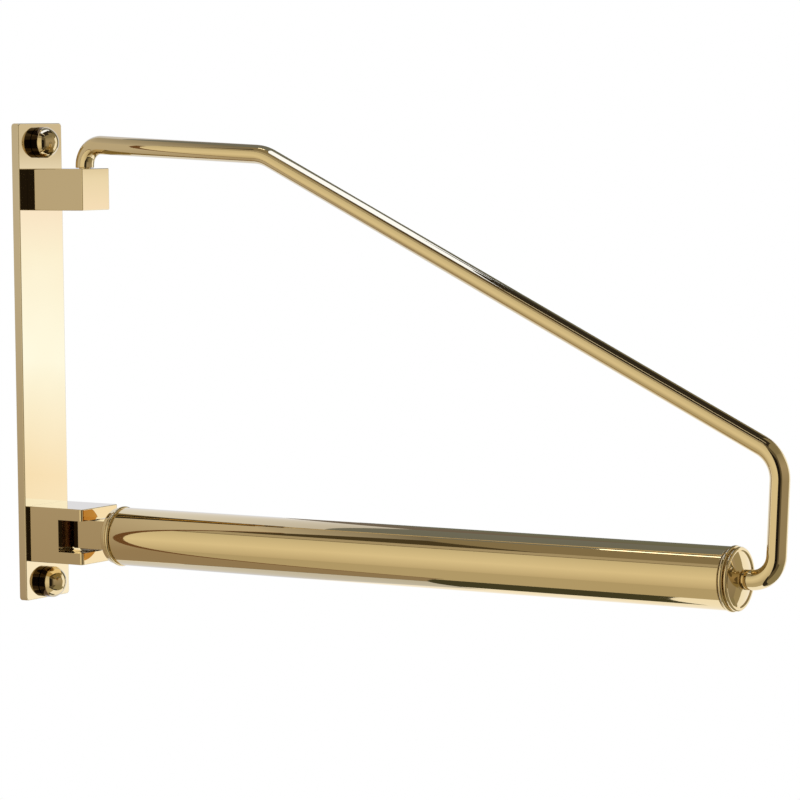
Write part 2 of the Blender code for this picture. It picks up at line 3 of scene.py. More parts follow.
import json
import math

import bpy
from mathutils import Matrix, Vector


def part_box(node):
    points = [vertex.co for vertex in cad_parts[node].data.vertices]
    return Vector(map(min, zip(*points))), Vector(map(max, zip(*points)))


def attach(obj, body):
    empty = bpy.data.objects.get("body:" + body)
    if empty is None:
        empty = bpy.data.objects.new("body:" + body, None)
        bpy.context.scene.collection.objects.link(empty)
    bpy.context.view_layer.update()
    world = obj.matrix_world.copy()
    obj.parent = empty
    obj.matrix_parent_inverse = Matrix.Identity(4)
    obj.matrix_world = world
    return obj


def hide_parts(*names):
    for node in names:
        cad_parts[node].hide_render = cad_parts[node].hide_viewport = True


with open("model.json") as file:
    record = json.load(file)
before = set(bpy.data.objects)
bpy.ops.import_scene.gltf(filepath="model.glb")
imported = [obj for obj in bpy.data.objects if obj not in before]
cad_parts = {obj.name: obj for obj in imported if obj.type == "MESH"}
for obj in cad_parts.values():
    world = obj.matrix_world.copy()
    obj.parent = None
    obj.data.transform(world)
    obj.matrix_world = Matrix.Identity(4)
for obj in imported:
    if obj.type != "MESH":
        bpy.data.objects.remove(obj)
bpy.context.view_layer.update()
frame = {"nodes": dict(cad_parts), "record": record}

bl_info = {
    "name": "Wall Clothes Rail",
    "version": (1, 0, 0),
    "blender": (4, 5, 0),
    "location": "3D View > Sidebar > Clothes Rail",
    "description": "Models the plated pieces of a wall-mounted swing-arm clothes rail",
    "category": "Mesh",
}

MM = 0.001
OUT = Vector((0.0, -1.0, 0.0))
UP = Vector((0.0, 0.0, 1.0))

RECORD = frame["record"]
HINGE = Vector(RECORD["behaviour"]["joints"][0]["pos_m"])
BODY_OF = {node: body for body, nodes in RECORD["behaviour"]["bodies"].items() for node in nodes}

# Nodes of like pieces
SCREWS = ["upper_block_screw_top", "upper_block_screw_bottom", "fork_screw_top", "fork_screw_bottom"]
COLLARS = ["cap_collar_top", "cap_collar_bottom"]
SCREW_CAPS = ["screw_cap_top", "screw_cap_bottom"]
RINGS = ["root_ring", "end_ring"]

# Clearance between pieces, that of a tight seat, and how far a cutter stands past the face that it cuts
GAP = 0.3 * MM
SEAT_GAP = 0.05 * MM
CUT_SPARE = 1.0 * MM

# Points of a mesh that are closer than this become one
MERGE_DISTANCE = 0.001 * MM

# Fineness of round forms
RAIL_SIDES = 160
TURNED_SIDES = 96
SMALL_SIDES = 48
HEX_SIDES = 6
ARC_STEPS = 12
EDGE_SEGMENTS = 4
BEND_STEP = math.radians(3.0)
SMOOTH_ANGLE = math.radians(32.0)

# Least share of an edge's course that lies along the axis by which it is chosen
ALONG_AXIS = 0.9

# Least backward share of the normal on the tongue's round end, which gets painted shade, and on the
# shoulder's back, which gets a painted reflection
REAR_FACING = 0.4

# Most forward share of the normal on the sides of the screw caps, which get a painted dark reflection
SIDE_FACING = 0.1


def length(name, description, default):
    """A length that the user can change, shown in the scene's units."""
    return bpy.props.FloatProperty(name=name, description=description, default=default, min=0.0,
                                   precision=5, unit="LENGTH", subtype="DISTANCE")


def colour(name, description, default):
    """A colour that the user can change."""
    return bpy.props.FloatVectorProperty(name=name, description=description, default=default, size=3,
                                         min=0.0, max=1.0, subtype="COLOR")


def share(name, description, default):
    """A value from 0 to 1 that the user can change."""
    return bpy.props.FloatProperty(name=name, description=description, default=default,
                                   min=0.0, max=1.0, subtype="FACTOR")


class BracketSizes(bpy.types.PropertyGroup):
    """Sizes of the wall plate and of what is fixed to it."""

    plate_corner: length("Plate corner", "Radius of the plate's four corners", 1.6 * MM)
    fork_corner: length("Fork corner", "Radius of the fork's two front corners", 1.4 * MM)
    edge_round: length("Edge rounding", "Rounding of the other edges of the plate, the block and the fork",
                       0.4 * MM)
    cap_side: length("Cap side", "Height of a screw cap's straight side", 3.3 * MM)
    collar_bore: length("Collar bore", "Hole for the wall screw", 5.0 * MM)
    collar_sleeve: length("Collar sleeve", "Diameter of the collar in the plate", 8.4 * MM)
    collar_flange: length("Collar flange", "Thickness of the collar's flange", 1.0 * MM)
    screw_shank: length("Screw shank", "Diameter of the screws behind the plate", 4.0 * MM)
    screw_socket: length("Screw socket", "Width of the hexagon socket in those screws", 2.5 * MM)
    socket_depth: length("Socket depth", "Depth of the hexagon sockets", 1.4 * MM)
    slot_height: length("Slot height", "Height of the slot through the hinge fork", 14.0 * MM)
    pin_shank: length("Pin shank", "Diameter of the hinge pin", 5.0 * MM)
    pin_head: length("Pin head", "Height of the hinge pin's head", 2.4 * MM)
    pin_socket: length("Pin socket", "Width of the hexagon socket in the pin", 3.0 * MM)
    pivot_bore: length("Pivot bore", "Hole in the upper block for the bushed rod pivot", 7.6 * MM)
    washer_edge: length("Washer edge", "Rounding of the nylon washer's edges", 0.15 * MM)


class ArmSizes(bpy.types.PropertyGroup):
    """Sizes of the rail, its root, its rings and its end cap."""

    tongue_width: length("Tongue width", "Width of the tongue in the fork", 12.0 * MM)
    tongue_height: length("Tongue height", "Height of the tongue in the fork", 12.4 * MM)
    tongue_lift: length("Tongue lift", "How far the tongue's middle is above the rail's axis", 0.5 * MM)
    tongue_edge: length("Tongue edge", "Rounding of the tongue's edges", 0.6 * MM)
    tongue_bore: length("Tongue bore", "Hole in the tongue for the bushed pin", 8.0 * MM)
    shoulder_step: length("Shoulder step", "How far the root's shoulder is inside the rail's surface",
                          0.4 * MM)
    shoulder_thickness: length("Shoulder thickness", "Thickness of the root's shoulder", 2.1 * MM)
    shoulder_edge: length("Shoulder edge", "Rounding of the shoulder's edges", 0.4 * MM)
    rail_wall: length("Rail wall", "Wall of the rail's tube", 1.2 * MM)
    rail_edge: length("Rail edge", "Rounding of the rail's two ends", 0.3 * MM)
    bead_width: length("Bead width", "Width of a trim ring's bead", 1.8 * MM)
    bead_height: length("Bead height", "Height of a trim ring's bead", 0.9 * MM)
    neck_wall: length("Neck wall", "Wall of a trim ring's narrow neck", 0.5 * MM)
    plug_chamfer: length("Plug chamfer", "Chamfer on the plugs inside the rail", 0.9 * MM)
    rim_width: length("Rim width", "Width of the end cap's rounded rim", 1.4 * MM)
    rim_band: length("Rim band", "Flat band between the end cap's rim and its dome", 1.7 * MM)
    rim_lip: length("Rim lip", "Step down from the end cap's rim to its dome", 0.4 * MM)
    cap_web: length("Cap web", "Thickness of the end cap's wall behind its dome", 4.0 * MM)


class RodSizes(bpy.types.PropertyGroup):
    """Sizes of the bent support rod."""

    diameter: length("Diameter", "Diameter of the rod", 8.0 * MM)
    pivot: length("Pivot", "Diameter of the pivot in the upper block", 5.0 * MM)
    pivot_length: length("Pivot length", "Length of the pivot in the upper block", 13.0 * MM)
    stud: length("Stud", "Diameter of the stud in the end cap", 6.0 * MM)
    stud_proud: length("Stud proud", "How far the stud stands out behind its nut", 1.5 * MM)
    end_edge: length("End edge", "Rounding where the rod steps down to its pivot and its stud", 0.25 * MM)
    top_bend: length("Top bend", "Radius of the bend over the upper block", 8.8 * MM)
    top_length: length("Top length", "Length of the nearly level run", 94.2 * MM)
    top_fall: length("Top fall", "How far the nearly level run falls", 4.9 * MM)
    knee_bend: length("Knee bend", "Radius of the bend between the level run and the slope", 20.0 * MM)
    nose_rise: length("Nose rise", "Height of the front bend over the rail's axis", 48.2 * MM)
    nose_lean: length("Nose lean", "How far the front run leans outwards", 2.4 * MM)
    nose_bend: length("Nose bend", "Radius of the front bend", 14.0 * MM)
    foot_straight: length("Foot straight", "Straight end of the rod before the end cap", 2.6 * MM)
    foot_bend: length("Foot bend", "Radius of the bend into the end cap", 10.5 * MM)


class FinishColours(bpy.types.PropertyGroup):
    """Colours of the plating and of the hidden pieces, with the painted shade and the painted reflections on
    a few faces.
    """

    pale_gold: colour("Pale gold", "Plating of the wall plate", (0.93, 0.82, 0.58))
    block_gold: colour("Block gold", "Plating of the upper block and the fork", (0.89, 0.74, 0.46))
    rail_gold: colour("Rail gold", "Plating of the rail", (0.88, 0.72, 0.43))
    rod_gold: colour("Rod gold", "Plating of the support rod", (0.88, 0.73, 0.45))
    cap_gold: colour("Cap gold", "Plating of the screw caps", (0.87, 0.71, 0.43))
    warm_gold: colour("Warm gold", "Warmer tint in the plating's slow changes of colour",
                      (0.84, 0.66, 0.36))
    nylon: colour("Nylon", "Natural nylon of the washer and the bush", (0.78, 0.76, 0.70))
    nylon_shade: colour("Nylon shade", "Darker flow marks in the nylon", (0.66, 0.63, 0.56))
    bronze: colour("Bronze", "Bush in the tongue", (0.62, 0.40, 0.20))
    bronze_shade: colour("Bronze shade", "Darker patches on the bush", (0.45, 0.27, 0.13))
    zinc: colour("Zinc", "Zinc plating of the screws, the pin and the collars", (0.66, 0.67, 0.69))
    zinc_shade: colour("Zinc shade", "Duller patches in the zinc plating", (0.52, 0.53, 0.55))
    # Painted reflection: the caps' sides are darkened for the dark surroundings that they mirror.
    cap_side: colour("Cap side", "Darker plating on the sides of the screw caps", (0.24, 0.17, 0.11))
    cap_side_shade: colour("Cap side shade", "Darker patches on those sides", (0.16, 0.11, 0.07))
    # Painted reflection: warm orange on the shoulder's back, which the fork's front mirrors.
    painted_reflection_tint: colour("Brass", "Bare warm brass on the back of the root's shoulder", (0.80, 0.40, 0.08))
    painted_reflection_dark_tint: colour("Brass shade", "Darker patches on the bare brass", (0.70, 0.33, 0.06))
    # Painted shade: the tongue's round end in the slot is darkened to stand for the shade in the slot.
    painted_shade_tint: colour("Recess", "Dark, unpolished round end of the tongue in the slot", (0.24, 0.15, 0.13))
    painted_shade_dark_tint: colour("Recess shade", "Darker patches on that end", (0.16, 0.10, 0.08))
    gloss: share("Gloss roughness", "Least roughness of the polished plating", 0.018)
    haze: share("Haze", "How much rougher the polish gets in its dullest places", 0.02)


def fresh_start():
    """Goes to object mode with nothing selected, so that the next operator acts on its own piece alone."""
    if bpy.context.object and bpy.context.object.mode != "OBJECT":
        bpy.ops.object.mode_set(mode="OBJECT")
    bpy.ops.object.select_all(action="DESELECT")


def settle(name):
    """Names a new primitive and puts its place and turn into its mesh."""
    piece = bpy.context.object
    piece.name = name
    piece.data.name = name
    bpy.ops.object.transform_apply(location=True, rotation=True, scale=True)
    return piece


def pick(piece):
    """Makes a piece the only selected one."""
    fresh_start()
    piece.select_set(True)
    bpy.context.view_layer.objects.active = piece


def apply_step(piece, kind, **settings):
    """Adds one modifier to a piece and applies it."""
    pick(piece)
    step = piece.modifiers.new(kind.lower(), kind)
    for setting, value in settings.items():
        setattr(step, setting, value)
    bpy.ops.object.modifier_apply(modifier=step.name)


def combine(piece, tool, operation):
    """Cuts a tool away from a piece or joins it on, and deletes the tool."""
    apply_step(piece, "BOOLEAN", operation=operation, solver="EXACT", object=tool)
    pick(tool)
    bpy.ops.object.delete()


def even_shading(piece):
    """Smooth shading with sharp corners kept, and large faces as true mirrors right up to their edges."""
    pick(piece)
    bpy.ops.object.shade_smooth_by_angle(angle=SMOOTH_ANGLE)
    apply_step(piece, "WEIGHTED_NORMAL", keep_sharp=True)


def point_faces_out():
    """Turns all faces of the mesh in edit mode outwards, once doubled points are merged."""
    bpy.ops.mesh.select_all(action="SELECT")
    bpy.ops.mesh.remove_doubles(threshold=MERGE_DISTANCE)
    bpy.ops.mesh.normals_make_consistent(inside=False)
    bpy.ops.object.mode_set(mode="OBJECT")


def draw_out(profile, centre, axis):
    """Extrudes the selected ring from point to point of a profile of (distance along the axis, radius)."""
    along, radius = profile[0]
    for next_along, next_radius in profile[1:]:
        bpy.ops.mesh.extrude_region_move(TRANSFORM_OT_translate={"value": axis * (next_along - along)})
        if next_radius == 0.0:
            bpy.ops.mesh.merge(type="CENTER")
            return
        size = next_radius / radius
        bpy.ops.transform.resize(value=(size, size, size), center_override=centre + axis * next_along)
        along, radius = next_along, next_radius


def start_ring(name, sides, radius, centre, axis):
    """Adds a ring square to the axis and goes to edit mode with it selected."""
    fresh_start()
    turn = axis.to_track_quat("Z", "Y").to_euler()
    bpy.ops.mesh.primitive_circle_add(vertices=sides, radius=radius, location=centre, rotation=turn)
    piece = settle(name)
    bpy.ops.object.mode_set(mode="EDIT")
    bpy.ops.mesh.select_mode(type="VERT")
    bpy.ops.mesh.select_all(action="SELECT")
    return piece


def turn_solid(name, profile, centre, axis, sides=TURNED_SIDES):
    """Turns a solid piece: a ring drawn along its profile, with its open ends filled."""
    first_along, first_radius = profile[0]
    piece = start_ring(name, sides, first_radius, centre + axis * first_along, axis)
    draw_out(profile, centre, axis)
    bpy.ops.mesh.select_all(action="SELECT")
    bpy.ops.mesh.fill_holes(sides=0)
    point_faces_out()
    return piece


def turn_sleeve(name, profile, centre, axis, sides=TURNED_SIDES):
    """Turns a piece with a bore: a ring drawn right round its profile, whose two ends are bridged."""
    first_along, first_radius = profile[0]
    piece = start_ring(name, sides, first_radius, centre + axis * first_along, axis)
    draw_out(profile, centre, axis)
    bpy.ops.mesh.select_all(action="DESELECT")
    bpy.ops.mesh.select_non_manifold()
    bpy.ops.mesh.bridge_edge_loops()
    point_faces_out()
    return piece


def add_bar(name, low, high):
    """Adds a bar from its lowest corner to its highest, with its edges still sharp."""
    fresh_start()
    low, high = Vector(low), Vector(high)
    bpy.ops.mesh.primitive_cube_add(size=1.0, location=(low + high) / 2, scale=high - low)
    return settle(name)


def round_edges(piece, width):
    """Rounds every sharp edge of a piece."""
    apply_step(piece, "BEVEL", width=width, segments=EDGE_SEGMENTS, limit_method="ANGLE",
               angle_limit=SMOOTH_ANGLE)


def round_corners(bar, axis, width, chosen):
    """Rounds those long edges of a bar that run along one axis and whose middles pass a test."""
    pick(bar)
    bpy.ops.object.mode_set(mode="EDIT")
    bpy.ops.mesh.select_mode(type="EDGE")
    bpy.ops.mesh.select_all(action="DESELECT")
    bpy.ops.object.mode_set(mode="OBJECT")
    for edge in bar.data.edges:
        first, second = (bar.data.vertices[i].co for i in edge.vertices)
        along = abs((second - first).normalized().dot(axis)) > ALONG_AXIS
        edge.select = along and chosen((first + second) / 2)
    bpy.ops.object.mode_set(mode="EDIT")
    bpy.ops.mesh.bevel(offset=width, segments=2 * EDGE_SEGMENTS, affect="EDGES")
    bpy.ops.object.mode_set(mode="OBJECT")


def arc(centre_along, centre_radius, radius, start, end, steps=ARC_STEPS):
    """Profile points on an arc; angles are measured from the outward direction towards the axis' end."""
    points = []
    for i in range(steps + 1):
        angle = start + (end - start) * i / steps
        points.append((centre_along + radius * math.sin(angle), centre_radius + radius * math.cos(angle)))
    return points


def crown(base_along, base_radius, height, least_radius):
    """Profile points of a shallow dome from its rim inwards, as far as the least radius."""
    sphere = (base_radius ** 2 + height ** 2) / (2 * height)
    half = math.asin(base_radius / sphere)
    points = []
    for i in range(2 * ARC_STEPS):
        angle = half * (1 - i / (2 * ARC_STEPS))
        radius = sphere * math.sin(angle)
        if radius <= least_radius:
            break
        points.append((base_along + height - sphere * (1 - math.cos(angle)), radius))
    return points


def cut_socket(piece, width, low, high, centre, axis):
    """Cuts a hexagon socket into the end of a turned piece."""
    profile = [(low, width / math.sqrt(3)), (high, width / math.sqrt(3))]
    combine(piece, turn_solid("socket_cutter", profile, centre, axis, HEX_SIDES), "DIFFERENCE")


def paint(piece, finish):
    """Gives a piece one finish all over."""
    piece.data.materials.clear()
    piece.data.materials.append(finish)


def hand_over(piece, node, finish):
    """Gives a new piece its finish and puts it in the place of its CAD node."""
    paint(piece, finish)
    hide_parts(node)
    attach(piece, BODY_OF[node])


def refinish(piece, finish, chosen):
    """Gives another finish to those faces of a piece that pass a test."""
    place = len(piece.data.materials)
    piece.data.materials.append(finish)
    for face in piece.data.polygons:
        if chosen(face):
            face.material_index = place


def node_centre(node):
    """Middle of a CAD node's box."""
    low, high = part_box(node)
    return (low + high) / 2


def plate_front():
    """Place of the wall plate's front face."""
    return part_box("wall_plate")[0].y


def screw_foot(node):
    """Point on the wall behind a screw, a collar or a cap."""
    middle = node_centre(node)
    return Vector((middle.x, 0.0, middle.z))


def screw_profile(node, spare):
    """A countersunk screw from its head inwards; spare widens it into the hole that it fits."""
    low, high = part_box(node)
    head = (high.x - low.x) / 2 + spare
    shank = bpy.context.scene.bracket_sizes.screw_shank / 2 + spare
    start = -high.y if spare == 0.0 else -CUT_SPARE
    rim = -high.y + GAP
    end = -low.y + spare
    return [(start, head), (rim, head), (rim + head - shank, shank), (end, shank)]


def trim_seat(piece):
    """Cuts a piece off square just before the wall plate, so that its edges are sharp there."""
    pick(piece)
    bpy.ops.object.mode_set(mode="EDIT")
    bpy.ops.mesh.select_all(action="SELECT")
    bpy.ops.mesh.bisect(plane_co=(0.0, plate_front() - SEAT_GAP, 0.0), plane_no=-OUT, use_fill=True,
                        clear_outer=True)
    bpy.ops.object.mode_set(mode="OBJECT")


def new_group(name, inputs, outputs):
    """An empty shader node group with named sockets."""
    group = bpy.data.node_groups.new(name, "ShaderNodeTree")
    for socket_name, kind, default in inputs:
        socket = group.interface.new_socket(socket_name, in_out="INPUT", socket_type=kind)
        socket.default_value = default
    for socket_name, kind in outputs:
        group.interface.new_socket(socket_name, in_out="OUTPUT", socket_type=kind)
    return group


# Sockets of the Mix node, which has inputs of its own for each kind of data
MIX_VALUE_A = 2
MIX_VALUE_B = 3
MIX_VALUE_OUT = 0
MIX_COLOUR_A = 6
MIX_COLOUR_B = 7
MIX_COLOUR_OUT = 2

# Spans of the noise that become the whole drift of the tint and the whole range of roughness
DRIFT_SPAN = (0.35, 0.7)
CLOUD_SPAN = (0.3, 0.75)


def surface_group():
    """Slow drift between two tints, cloudy roughness and a fine height, shared by every finish."""
    name = "Finish drift"
    if name in bpy.data.node_groups:
        return bpy.data.node_groups[name]
    group = new_group(
        name,
        [("Tint", "NodeSocketColor", (0.8, 0.8, 0.8, 1.0)),
         ("Second Tint", "NodeSocketColor", (0.7, 0.7, 0.7, 1.0)),
         ("Drift Scale", "NodeSocketFloat", 14.0),
         ("Least Roughness", "NodeSocketFloat", 0.04),
         ("Most Roughness", "NodeSocketFloat", 0.1),
         ("Cloud Scale", "NodeSocketFloat", 60.0),
         ("Wave Scale", "NodeSocketFloat", 35.0),
         ("Grain Scale", "NodeSocketFloat", 1800.0),
         ("Grain Share", "NodeSocketFloat", 0.05)],
        [("Color", "NodeSocketColor"), ("Roughness", "NodeSocketFloat"), ("Height", "NodeSocketFloat")],
    )
    nodes, links = group.nodes, group.links
    inlet = nodes.new("NodeGroupInput")
    outlet = nodes.new("NodeGroupOutput")
    place = nodes.new("ShaderNodeTexCoord")

    def noise(scale_socket, detail):
        """Noise on the piece's own coordinates, at the scale of one of the group's inputs."""
        texture = nodes.new("ShaderNodeTexNoise")
        texture.inputs["Detail"].default_value = detail
        links.new(place.outputs["Object"], texture.inputs["Vector"])
        links.new(inlet.outputs[scale_socket], texture.inputs["Scale"])
        return texture.outputs["Fac"]

    def spread(value, span):
        """Map Range node that spreads a span of a value."""
        node = nodes.new("ShaderNodeMapRange")
        node.inputs["From Min"].default_value, node.inputs["From Max"].default_value = span
        links.new(value, node.inputs["Value"])
        return node

    tint = nodes.new("ShaderNodeMix")
    tint.data_type = "RGBA"
    drift = spread(noise("Drift Scale", detail=3.0), DRIFT_SPAN)
    links.new(drift.outputs["Result"], tint.inputs["Factor"])
    links.new(inlet.outputs["Tint"], tint.inputs[MIX_COLOUR_A])
    links.new(inlet.outputs["Second Tint"], tint.inputs[MIX_COLOUR_B])
    links.new(tint.outputs[MIX_COLOUR_OUT], outlet.inputs["Color"])

    cloud = spread(noise("Cloud Scale", detail=4.0), CLOUD_SPAN)
    links.new(inlet.outputs["Least Roughness"], cloud.inputs["To Min"])
    links.new(inlet.outputs["Most Roughness"], cloud.inputs["To Max"])
    links.new(cloud.outputs["Result"], outlet.inputs["Roughness"])

    height = nodes.new("ShaderNodeMix")
    links.new(inlet.outputs["Grain Share"], height.inputs["Factor"])
    links.new(noise("Wave Scale", detail=1.0), height.inputs[MIX_VALUE_A])
    links.new(noise("Grain Scale", detail=2.0), height.inputs[MIX_VALUE_B])
    links.new(height.outputs[MIX_VALUE_OUT], outlet.inputs["Height"])
    return group


def make_finish(name, tint, second_tint, metallic, bump, **values):
    """A material on the shared surface group; what is uniform is set on the shader itself."""
    if name in bpy.data.materials:
        return bpy.data.materials[name]
    material = bpy.data.materials.new(name)
    material.use_nodes = True
    nodes, links = material.node_tree.nodes, material.node_tree.links
    shader = nodes["Principled BSDF"]
    shader.inputs["Metallic"].default_value = metallic
    surface = nodes.new("ShaderNodeGroup")
    surface.node_tree = surface_group()
    surface.inputs["Tint"].default_value = (*tint, 1.0)
    surface.inputs["Second Tint"].default_value = (*second_tint, 1.0)
    for socket, value in values.items():
        surface.inputs[socket.replace("_", " ").title()].default_value = value
    relief = nodes.new("ShaderNodeBump")
    relief.inputs["Strength"].default_value = 1.0
    relief.inputs["Distance"].default_value = bump
    links.new(surface.outputs["Color"], shader.inputs["Base Color"])
    links.new(surface.outputs["Roughness"], shader.inputs["Roughness"])
    links.new(surface.outputs["Height"], relief.inputs["Height"])
    links.new(relief.outputs["Normal"], shader.inputs["Normal"])
    return material


# How far the plating drifts from its own tint towards the warmer one
WARM_SHARE = 0.4

# Height of the fine relief on polished metal, on dull metal and on moulded nylon
POLISH_RELIEF = 0.006 * MM
DULL_RELIEF = 0.03 * MM
MOULD_RELIEF = 0.05 * MM


def polished(name, tint):
    """Mirror-polished gold plating in one tint."""
    colours = bpy.context.scene.rail_colours
    warmer = Vector(tint).lerp(Vector(colours.warm_gold), WARM_SHARE)
    return make_finish(name, tint, warmer, metallic=1.0, bump=POLISH_RELIEF, drift_scale=9.0,
                       least_roughness=colours.gloss, most_roughness=colours.gloss + colours.haze,
                       cloud_scale=70.0, wave_scale=30.0, grain_scale=2500.0, grain_share=0.02)


def small_polish(name, tint, second_tint):
    """Polished metal with changes that are fine enough for a small face."""
    return make_finish(name, tint, second_tint, metallic=1.0, bump=POLISH_RELIEF, drift_scale=60.0,
                       least_roughness=0.03, most_roughness=0.08, cloud_scale=150.0, wave_scale=60.0,
                       grain_scale=2500.0, grain_share=0.02)


def dull_metal(name, tint, second_tint, least, most, drift_scale=180.0, cloud_scale=400.0):
    """Metal with a dull bloom, from its least roughness to its most."""
    return make_finish(name, tint, second_tint, metallic=1.0, bump=DULL_RELIEF, drift_scale=drift_scale,
                       least_roughness=least, most_roughness=most, cloud_scale=cloud_scale,
                       wave_scale=300.0, grain_scale=4000.0, grain_share=0.4)


def zinc_plating():
    """Zinc-plated steel of the screws, the pin, the collars and the nut."""
    colours = bpy.context.scene.rail_colours
    return dull_metal("zinc_plating", colours.zinc, colours.zinc_shade, least=0.22, most=0.4)


def turned_bronze():
    """Turned bronze of the bush in the tongue."""
    colours = bpy.context.scene.rail_colours
    return dull_metal("turned_bronze", colours.bronze, colours.bronze_shade, least=0.3, most=0.45,
                      drift_scale=250.0, cloud_scale=450.0)


def slot_painted_shade():
    """Painted shade: dark, dull metal on the tongue's round end, which darkens the slot around it as shade
    would.
    """
    colours = bpy.context.scene.rail_colours
    return dull_metal("slot_painted_shade", colours.painted_shade_tint, colours.painted_shade_dark_tint, least=0.2, most=0.32)


def cap_painted_reflection():
    """Painted reflection: darker polished metal on the sides of the screw caps, for the dark surroundings
    that they mirror.
    """
    colours = bpy.context.scene.rail_colours
    return small_polish("cap_painted_reflection", colours.cap_side, colours.cap_side_shade)


def shoulder_painted_reflection():
    """Warm orange on the back of the root's shoulder, a painted reflection: the fork's front mirrors it as
    the orange of gold seen in gold.
    """
    colours = bpy.context.scene.rail_colours
    return small_polish("shoulder_painted_reflection", colours.painted_reflection_tint, colours.painted_reflection_dark_tint)


def natural_nylon():
    """Moulded natural nylon of the washer and the rod's bush."""
    colours = bpy.context.scene.rail_colours
    return make_finish("natural_nylon", colours.nylon, colours.nylon_shade, metallic=0.0,
                       bump=MOULD_RELIEF, drift_scale=220.0, least_roughness=0.38, most_roughness=0.55,
                       cloud_scale=500.0, wave_scale=350.0, grain_scale=3000.0, grain_share=0.5)


class RAIL_OT_wall_plate(bpy.types.Operator):
    """Models the flat wall plate with its rounded corners and its fixing holes"""

    bl_idname = "rail.wall_plate"
    bl_label = "Wall Plate"

    def execute(self, context):
        sizes = context.scene.bracket_sizes
        low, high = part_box("wall_plate")
        plate = add_bar("wall_plate_shown", low, high)
        round_corners(plate, OUT, sizes.plate_corner, lambda middle: True)
        round_edges(plate, sizes.edge_round)
        for node in SCREWS:
            tool = turn_solid("hole_cutter", screw_profile(node, GAP), screw_foot(node), OUT, SMALL_SIDES)
            combine(plate, tool, "DIFFERENCE")
        for node in COLLARS:
            flange_low, flange_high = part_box(node)
            flange = (flange_high.x - flange_low.x) / 2 + GAP
            bore = sizes.collar_sleeve / 2 + GAP
            step = sizes.collar_flange + 2 * GAP
            far = -low.y + CUT_SPARE
            profile = [(-CUT_SPARE, flange), (step, flange), (step, bore), (far, bore)]
            tool = turn_solid("hole_cutter", profile, screw_foot(node), OUT, SMALL_SIDES)
            combine(plate, tool, "DIFFERENCE")
        even_shading(plate)
        hand_over(plate, "wall_plate", polished("plate_plating", context.scene.rail_colours.pale_gold))
        return {"FINISHED"}


class RAIL_OT_plate_screws(bpy.types.Operator):
    """Models one countersunk screw with a hexagon socket and copies it to each of its places"""

    bl_idname = "rail.plate_screws"
    bl_label = "Plate Screws"

    def execute(self, context):
        sizes = context.scene.bracket_sizes
        pattern = SCREWS[0]
        foot = screw_foot(pattern)
        first = turn_solid("screw_shown", screw_profile(pattern, 0.0), foot, OUT, SMALL_SIDES)
        head_face = -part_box(pattern)[1].y
        socket_floor = head_face + sizes.socket_depth
        cut_socket(first, sizes.screw_socket, head_face - CUT_SPARE, socket_floor, foot, OUT)
        even_shading(first)
        for node in SCREWS[1:]:
            pick(first)
            bpy.ops.object.duplicate_move(TRANSFORM_OT_translate={"value": screw_foot(node) - foot})
            hand_over(settle(node + "_shown"), node, zinc_plating())
        first.name = pattern + "_shown"
        hand_over(first, pattern, zinc_plating())
        return {"FINISHED"}


class RAIL_OT_wall_fixings(bpy.types.Operator):
    """Models the collar for the wall screw and the domed cap over it, and copies both to the lower end"""

    bl_idname = "rail.wall_fixings"
    bl_label = "Wall Fixings"

    def execute(self, context):
        self.copy_down(self.turn_collar(context), COLLARS, zinc_plating())
        finish = polished("cap_plating", context.scene.rail_colours.cap_gold)
        for cap in self.copy_down(self.turn_cap(context), SCREW_CAPS, finish):
            # The caps' sides get a painted dark reflection.
            refinish(cap, cap_painted_reflection(), lambda face: abs(face.normal.dot(OUT)) < SIDE_FACING)
        return {"FINISHED"}

    def turn_collar(self, context):
        """Turns the upper collar: a flange behind the plate and a sleeve through it."""
        sizes = context.scene.bracket_sizes
        low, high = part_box(COLLARS[0])
        bore = sizes.collar_bore / 2
        sleeve = sizes.collar_sleeve / 2
        flange = (high.x - low.x) / 2
        back = -high.y
        tip = -low.y
        step = back + sizes.collar_flange
        sink = (sleeve - bore) / 2
        profile = [(back, bore), (back, flange), (step, flange), (step, sleeve), (tip, sleeve),
                   (tip, bore + sink), (tip - sink, bore)]
        return turn_sleeve("collar_shown", profile, screw_foot(COLLARS[0]), OUT, SMALL_SIDES)

    def turn_cap(self, context):
        """Turns the upper cap: a straight side, a dome and a pocket over the collar."""
        sizes = context.scene.bracket_sizes
        low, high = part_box(SCREW_CAPS[0])
        rim = (high.x - low.x) / 2
        base = -high.y
        apex = -low.y
        pocket = sizes.collar_sleeve / 2 + GAP
        roof = -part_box(COLLARS[0])[0].y + GAP
        side_end = base + sizes.cap_side
        profile = [(roof, pocket), (base, pocket), (base, rim)]
        profile += crown(side_end, rim, apex - side_end, 0.0)
        profile.append((apex, 0.0))
        return turn_solid("screw_cap_shown", profile, screw_foot(SCREW_CAPS[0]), OUT)

    def copy_down(self, first, nodes, finish):
        """Copies an upper piece to the plate's lower end, and hands both over."""
        even_shading(first)
        pick(first)
        step = screw_foot(nodes[1]) - screw_foot(nodes[0])
        bpy.ops.object.duplicate_move(TRANSFORM_OT_translate={"value": step})
        second = settle(nodes[1] + "_shown")
        hand_over(second, nodes[1], finish)
        first.name = nodes[0] + "_shown"
        hand_over(first, nodes[0], finish)
        return first, second


